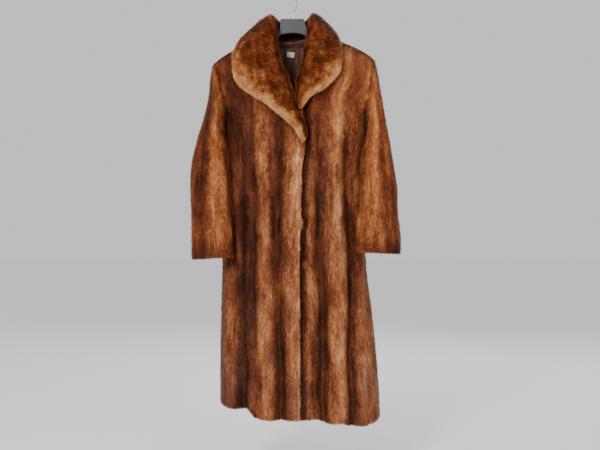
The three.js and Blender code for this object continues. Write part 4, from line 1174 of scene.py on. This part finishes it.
def facingMaterial():
    material, wire, shader = startMaterial("facing_pile", Roughness=facingLook["roughness"], Sheen_Weight=0.2)
    place = wire.node("TexCoord", output="Object")
    nap = noise(wire, place * (500.0, 200.0, 130.0), 1.0, 3)
    tinted(wire, shader, nap, 0.3, facingLook["dark"], 0.75, facingLook["light"])
    raised(wire, shader, nap, 0.002, 0.8)
    return material


labelLook = {"tape": paint(238, 233, 220), "thread": paint(214, 206, 190)}


def labelMaterial():
    material, wire, shader = startMaterial("label_tape", Roughness=0.7, Specular_IOR_Level=0.3)
    place = wire.node("TexCoord", output="Object")
    values = {"Vector": place, "Scale": 520.0, "Distortion": 1.5}
    ribs = wire.node("TexWave", {"bands_direction": "X"}, values)
    tinted(wire, shader, ribs, 0.2, labelLook["thread"], 0.7, labelLook["tape"])
    raised(wire, shader, ribs, 0.0001, 0.5)
    return material


plasticLook = {"dark": paint(44, 42, 45), "light": paint(65, 62, 64), "roughness": 0.42}


def plasticMaterial():
    material, wire, shader = startMaterial(
        "hanger_plastic", Roughness=plasticLook["roughness"], Specular_IOR_Level=0.4,
    )
    place = wire.node("TexCoord", output="Object")
    wear = noise(wire, place, 30.0, 3)
    tinted(wire, shader, wear, 0.3, plasticLook["dark"], 0.75, plasticLook["light"])
    wire.feed(shader.inputs["Roughness"], wear * 0.2 + (plasticLook["roughness"] - 0.1))
    raised(wire, shader, noise(wire, place, 900.0, 2), 0.00015, 0.5)
    return material


steelLook = {"dark": paint(150, 150, 153), "light": paint(196, 196, 200), "roughness": 0.28}


def steelMaterial():
    material, wire, shader = startMaterial("hook_steel", Metallic=1.0, Roughness=steelLook["roughness"])
    drawn = noise(wire, wire.node("TexCoord", output="Object") * (900.0, 900.0, 90.0), 1.0, 2)
    tinted(wire, shader, drawn, 0.3, steelLook["dark"], 0.7, steelLook["light"])
    wire.feed(shader.inputs["Roughness"], drawn * 0.2 + (steelLook["roughness"] - 0.08))
    return material


print("mixing the finishes")
coatFur = furMaterial("coat_fur", furColours, coatLook)
collarFur = furMaterial("collar_fur", collarColours, collarLook)
satin, facingPile, labelTape = satinMaterial(), facingMaterial(), labelMaterial()
plastic, steel = plasticMaterial(), steelMaterial()


def dress(piece, slot, *materials):
    for material in materials:
        piece.data.materials.append(material)
    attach(piece, "root")


print("laying the pile on the body and the sleeves")
for name, cut in cuts.items():
    hide = hides[name]
    source = panels.get(name) or sleeves[name]
    closed = name in sleeves
    shell, inside = wallPiece(name + "_hide", hide["outer"], hide["inner"], closed)
    keepHide(shell, hide, 2, source["seed"])
    dress(shell, "fur", coatFur, satin)
    shell.data.polygons.foreach_set("material_index", inside.astype(np.int32))
    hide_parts(name)
    fur = pilePiece(name + "_fur", hide, piles["coat"], source["blades"], source["seed"], closed)
    dress(fur, "fur", coatFur)

print("laying the pile on the collar")
core = tubePiece("collar_hide", collarGrid)
keepHide(core, collarRoll, 1, collarShape["seed"])
dress(core, "collar_fur", collarFur)
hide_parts("collar")
carried = [collarShape[step] * collarShape["perStep"] for step in ("firstStep", "lastStep")]
collarPile = pilePiece(
    "collar_fur", collarRoll, piles["collar"], collarShape["blades"], collarShape["seed"], True, carried,
)
dress(collarPile, "collar_fur", collarFur)

# What shows inside the back of the neck: each sheet's X, its rows and columns, and its clearance.
innerSheets = {
    "neck_facing": {
        "fromX": -63, "toX": 41, "rows": 20, "columns": 60, "slack": 0,
        "top": lambda x: np.pi / 2 * backTopShare(x) - 0.02, "foot": lambda x: climbOf(x, -141.0),
        "slot": "facing_cloth", "finish": facingPile, "flat": (0.11, 0.025), "area": 0.002,
    },
    "back_lining": {
        "fromX": -95, "toX": 81, "rows": 90, "columns": 60, "slack": 2,
        "top": lambda x: climbOf(x, -141.3), "foot": lambda x: climbOf(x, -1196.0),
        "slot": "lining_satin", "finish": satin, "flat": (0.19, 1.08), "area": 0.2,
    },
}
innerLook = {"clear": 2.0, "thickness": 1.2, "pleats": 1.2, "pleatStep": 31.0}


def innerPiece(name, sheet):
    share = np.linspace(0, 1, sheet["rows"] + 1)[:, None] ** 1.3
    x = np.linspace(sheet["fromX"], sheet["toX"], sheet["columns"] + 1)[None, :] + 0 * share
    climb = sheet["top"](x) + (sheet["foot"](x) - sheet["top"](x)) * share
    z = coat["chestZ"] + np.minimum(climb, 0) * coat["drop"]
    fold = foldIn(backFolds, x, z) * np.where(climb > 0, 1 - np.sin(np.maximum(climb, 0)), 1)
    fold = fold + 8 * np.clip(-climb, 0, 1)
    clear = innerLook["clear"] + sheet["slack"] * smooth(share, 0, 0.03)
    pleats = innerLook["pleats"] * np.sin(x / innerLook["pleatStep"] * 6.28) * smooth(share, 0.12, 0.3)
    normal = coatNormal(x, climb, 1)
    outer = coatPoint(x, climb, 1) - normal * (coat["wall"] + fold + clear + pleats)[..., None]
    piece = wallPiece(name + "_cloth", outer, outer - normal * innerLook["thickness"], False)[0]
    dress(piece, sheet["slot"], sheet["finish"])
    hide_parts(name)


print("hanging the lining and the label")
for name, sheet in innerSheets.items():
    innerPiece(name, sheet)

label = {"x": -10.0, "z": -158.0, "lift": 15.3, "width": 23.0, "height": 16.0, "thickness": 0.6, "tilt": 8.0}


def labelPiece():
    climb = climbOf(label["x"], label["z"])
    normal = coatNormal(np.array(label["x"]), climb, 1)
    centre = coatPoint(label["x"], climb, 1) - normal * label["lift"]
    tilt = math.radians(label["tilt"])
    up = unit(np.array([0, -normal[2], normal[1]]))
    right = np.array([math.cos(tilt), 0, 0]) - up * math.sin(tilt)
    up = up * math.cos(tilt) + np.array([math.sin(tilt), 0, 0])
    u, w = np.meshgrid(np.linspace(-0.5, 0.5, 31), np.linspace(-0.5, 0.5, 23))
    bow = 0.5 * (u * 2) ** 2 - 0.25 - 0.12 * np.cos(u * 60) * (np.abs(w) > 0.42)
    grid = centre + u[..., None] * right * label["width"] + w[..., None] * up * label["height"]
    grid = grid + bow[..., None] * normal
    half = normal * label["thickness"] / 2
    piece = wallPiece("size_label_tape", grid - half, grid + half, False)[0]
    dress(piece, "label_cloth", labelTape)
    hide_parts("size_label")


labelPiece()

# The hanger, by its own sizes: the neck block with its bare recess, and two broad arms under the shoulders.
block = {
    "topZ": -66, "topLeft": -39, "topRight": 31, "footZ": -119, "footLeft": -51, "footRight": 43,
    "halfDepth": 12, "arch": 11, "corner": 5, "sideDrop": 30, "bevel": 1.6, "bevelOver": 40,
}
recess = {"left": -32, "right": 27, "topZ": -72, "height": 23, "deep": 1.5}
arm = {
    "neckHalfDepth": 9, "tipHalfDepth": 16, "neckDeep": 20, "tipDeep": 11, "ridgeClear": 0.6, "edgeClear": 2,
}
armSpans = {"right": (-42, -204), "left": (34, 210)}
neckCorners = (-73, 51)


# A quadratic bend from one XZ point to another.
def bend(start, control, end, steps=8):
    t = np.linspace(0, 1, steps)[1:, None]
    start, control, end = (np.array(p, float) for p in (start, control, end))
    return (1 - t) ** 2 * start + 2 * t * (1 - t) * control + t**2 * end


def standingSolid(name, outline, fromY, toY):
    count = len(outline)
    mesh = bpy.data.meshes.new(name)
    sides = [[k, (k + 1) % count, count + (k + 1) % count, count + k] for k in range(count)]
    faces = [list(range(count))[::-1], list(range(count, 2 * count))] + sides
    mesh.from_pydata([(x * 0.001, y * 0.001, z * 0.001) for y in (fromY, toY) for x, z in outline], [], faces)
    return addObject(name, mesh)


def blockPiece():
    corner, top, foot = (block[name] for name in ("corner", "topZ", "footZ"))
    left, right = block["topLeft"], block["topRight"]
    side, depth = top - block["sideDrop"], block["halfDepth"]
    start, end = (right - corner, top), (right + 1, top - corner)
    feet = (block["footRight"], foot), (block["footLeft"], foot)
    arch = (block["footLeft"] + block["footRight"]) / 2, foot + 2 * block["arch"]
    outline = [
        np.array([feet[1], (left - 2, side), (left, top - corner)], float),
        bend((left, top - corner), (left, top), (left + corner, top)),
        np.array([start], float),
        bend(start, (right, top), end),
        np.array([(feet[0][0] - 3, side), feet[0]], float),
        bend(feet[0], arch, feet[1], 25)[:-1],
    ]
    body = standingSolid("hanger_block", np.concatenate(outline), -depth, depth)
    radius = recess["height"] / 2
    turn = np.linspace(np.pi / 2, 3 * np.pi / 2, 25)
    ends = (recess["left"] + radius, turn), (recess["right"] - radius, turn + np.pi)
    middle = recess["topZ"] - radius
    halves = [np.stack([x + radius * np.cos(a), middle + radius * np.sin(a)], -1) for x, a in ends]
    pill = np.concatenate(halves)
    cutter = standingSolid("recess_cut", pill, -depth - 3, -depth + recess["deep"])
    cut = body.modifiers.new("recess", "BOOLEAN")
    cut.object, cut.operation, cut.solver = cutter, "DIFFERENCE", "EXACT"
    edge = body.modifiers.new("edges", "BEVEL")
    edge.width, edge.segments = block["bevel"] * 0.001, 3
    edge.limit_method, edge.angle_limit = "ANGLE", math.radians(block["bevelOver"])
    view = bpy.context.evaluated_depsgraph_get()
    finished = bpy.data.meshes.new_from_object(body.evaluated_get(view))
    bpy.data.objects.remove(body)
    bpy.data.objects.remove(cutter)
    return finished


def armTop(x, y):
    face = np.where(y < 0, -1.0, 1.0)

    def insideAt(climb):
        at = x + coat["wall"] * coatNormal(x, climb, face)[..., 0]
        return coatPoint(at, climb, face) - coatNormal(at, climb, face) * coat["wall"]

    top, nextRow = insideAt(np.pi / 2 + 0 * x), insideAt(math.radians(76) + 0 * x)
    share = np.abs(y) / np.abs(nextRow[..., 1])
    intoNeck = np.minimum(x - neckCorners[0], neckCorners[1] - x)
    lift = coat["wall"] * smooth(intoNeck, 5, 14)
    inside = top[..., 2] + (nextRow[..., 2] - top[..., 2]) * share
    return inside - arm["ridgeClear"] - arm["edgeClear"] * share + lift


def armPiece(side):
    start, end = armSpans[side]
    share = np.linspace(0, 1, 80)[:, None]
    x = start + (end - start) * share
    roundEnd = np.sqrt(1 - np.maximum(0, (share - 0.86) / 0.16) ** 2)
    halfDepth = (arm["neckHalfDepth"] + (arm["tipHalfDepth"] - arm["neckHalfDepth"]) * share**0.7) * roundEnd
    deep = arm["neckDeep"] + (arm["tipDeep"] - arm["neckDeep"]) * share
    deep = deep * (0.35 + 0.65 * smooth(share, 0, 0.2))
    across = np.sin(np.linspace(-np.pi / 2, np.pi / 2, 25))[None, :]
    x, y = x + 0 * across, halfDepth * across
    top = np.minimum(armTop(x, y), block["footZ"] + 5)
    edge = np.abs(across) ** 6
    top = top - 1.2 * edge
    foot = top - deep * (0.55 + 0.45 * (1 - np.abs(across) ** 3)) + 1.6 * edge
    return wallPiece("hanger_arm", np.stack([x, y, top], -1), np.stack([x, y, foot], -1), False)[0]


def hangerPiece():
    body = addObject("hanger_moulding", blockPiece())
    parts = [armPiece(side) for side in armSpans]
    for part in parts:
        part.data.uv_layers.remove(part.data.uv_layers[0])
    with bpy.context.temp_override(active_object=body, selected_editable_objects=[body] + parts):
        bpy.ops.object.join()
    dress(body, "hanger_plastic", plastic)
    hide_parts("hanger_body")


hookWire = {"radius": 1.7, "hookRadius": 18, "turned": 61, "shankTopZ": -46, "shankFootZ": -65.7, "sides": 20}


# A smooth path through points, even where they lie unevenly.
def pathThrough(points, steps):
    points = np.asarray(points, float)
    ends = np.concatenate([2 * points[:1] - points[1:2], points, 2 * points[-1:] - points[-2:-1]])
    path, t = [], np.linspace(0, 1, steps, endpoint=False)[:, None]
    for a, b, c, d in zip(ends, ends[1:], ends[2:], ends[3:]):
        first, second, third = (np.linalg.norm(q - p) ** 0.5 for p, q in ((a, b), (b, c), (c, d)))
        start = ((b - a) / first - (c - a) / (first + second) + (c - b) / second) * second
        end = ((c - b) / second - (d - b) / (second + third) + (d - c) / third) * second
        rest = (3 * (c - b) - 2 * start - end) * t**2 + (2 * (b - c) + start + end) * t**3
        path.append(b + start * t + rest)
    return np.concatenate(path + [points[-1:]])


def hookPiece():
    thick, turn = hookWire["radius"], math.radians(hookWire["turned"])
    radius = hookWire["hookRadius"] + thick
    angles = np.radians(np.arange(-38, 201, 17))
    flat = [(0, hookWire["shankFootZ"]), (0, block["topZ"] + 12), (1, hookWire["shankTopZ"])]
    flat += list(zip(radius * np.cos(angles), radius * np.sin(angles) - hookWire["hookRadius"]))
    path = pathThrough([(u * math.cos(turn), u * math.sin(turn), z) for u, z in flat], 8)
    along = unit(np.gradient(path, axis=0))
    flatNormal = np.array([-math.sin(turn), math.cos(turn), 0])
    sideways = unit(np.cross(along, flatNormal))
    spin = 2 * np.pi * np.arange(hookWire["sides"]) / hookWire["sides"]
    around = np.cos(spin)[None, :, None] * sideways[:, None] + np.sin(spin)[None, :, None] * flatNormal
    rings = path[:, None] + around * thick
    domed = np.radians([25, 50, 70, 84])
    tips = [path[-1] + thick * (along[-1] * math.sin(a) + around[-1] * math.cos(a)) for a in domed]
    piece = tubePiece("hook_wire", np.concatenate([rings, tips]))
    dress(piece, "hook_steel", steel)
    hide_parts("hanger_hook")


print("making the hanger")
hangerPiece()
hookPiece()

print("setting the floor, the lights and the camera")
studio = {
    "floorZ": -1.42, "floorSize": 40.0, "ground": paint(250, 250, 250),
    "key": 105.0, "fill": 8.0, "back": 45.0, "world": 0.8,
}


def floorPiece():
    half = studio["floorSize"] / 2
    mesh = bpy.data.meshes.new("studio_floor")
    corners = [(-half, -half), (half, -half), (half, half), (-half, half)]
    mesh.from_pydata([(x, y, studio["floorZ"]) for x, y in corners], [], [(0, 1, 2, 3)])
    material, wire, shader = startMaterial("studio_floor", Roughness=0.9, Specular_IOR_Level=0.1)
    shader.inputs["Base Color"].default_value = (*studio["ground"], 1)
    mesh.materials.append(material)
    addObject("studio_floor", mesh)


def studioLight(name, place, target, size, watts):
    lamp = bpy.data.lights.new(name, "AREA")
    lamp.shape, lamp.size, lamp.energy = "DISK", size, watts
    holder = addObject(name, lamp)
    holder.location = place
    holder.rotation_euler = (Vector(target) - Vector(place)).to_track_quat("-Z", "Y").to_euler()


floorPiece()
studioLight("key_light", (-1.1, -3.2, 0.7), (0, 0, -0.6), 0.7, studio["key"])
studioLight("fill_light", (1.8, -3.0, -0.2), (0, 0, -0.7), 1.6, studio["fill"])
studioLight("back_light", (0.8, 3.0, 1.2), (0, 0, -0.6), 1.6, studio["back"])
world = bpy.data.worlds.new("studio")
bpy.context.scene.world = world
world.use_nodes = True
sky = world.node_tree.nodes["Background"]
sky.inputs["Color"].default_value = (1, 1, 1, 1)
sky.inputs["Strength"].default_value = studio["world"]

lens = bpy.data.cameras.new("front_camera")
lens.sensor_width, lens.lens = 36, 60.83
lens.dof.use_dof = False
camera = addObject("front_camera", lens)
camera.location = (0.0189, -3.0, -0.674)
camera.rotation_euler = (math.radians(90), 0, 0)
bpy.context.scene.camera = camera
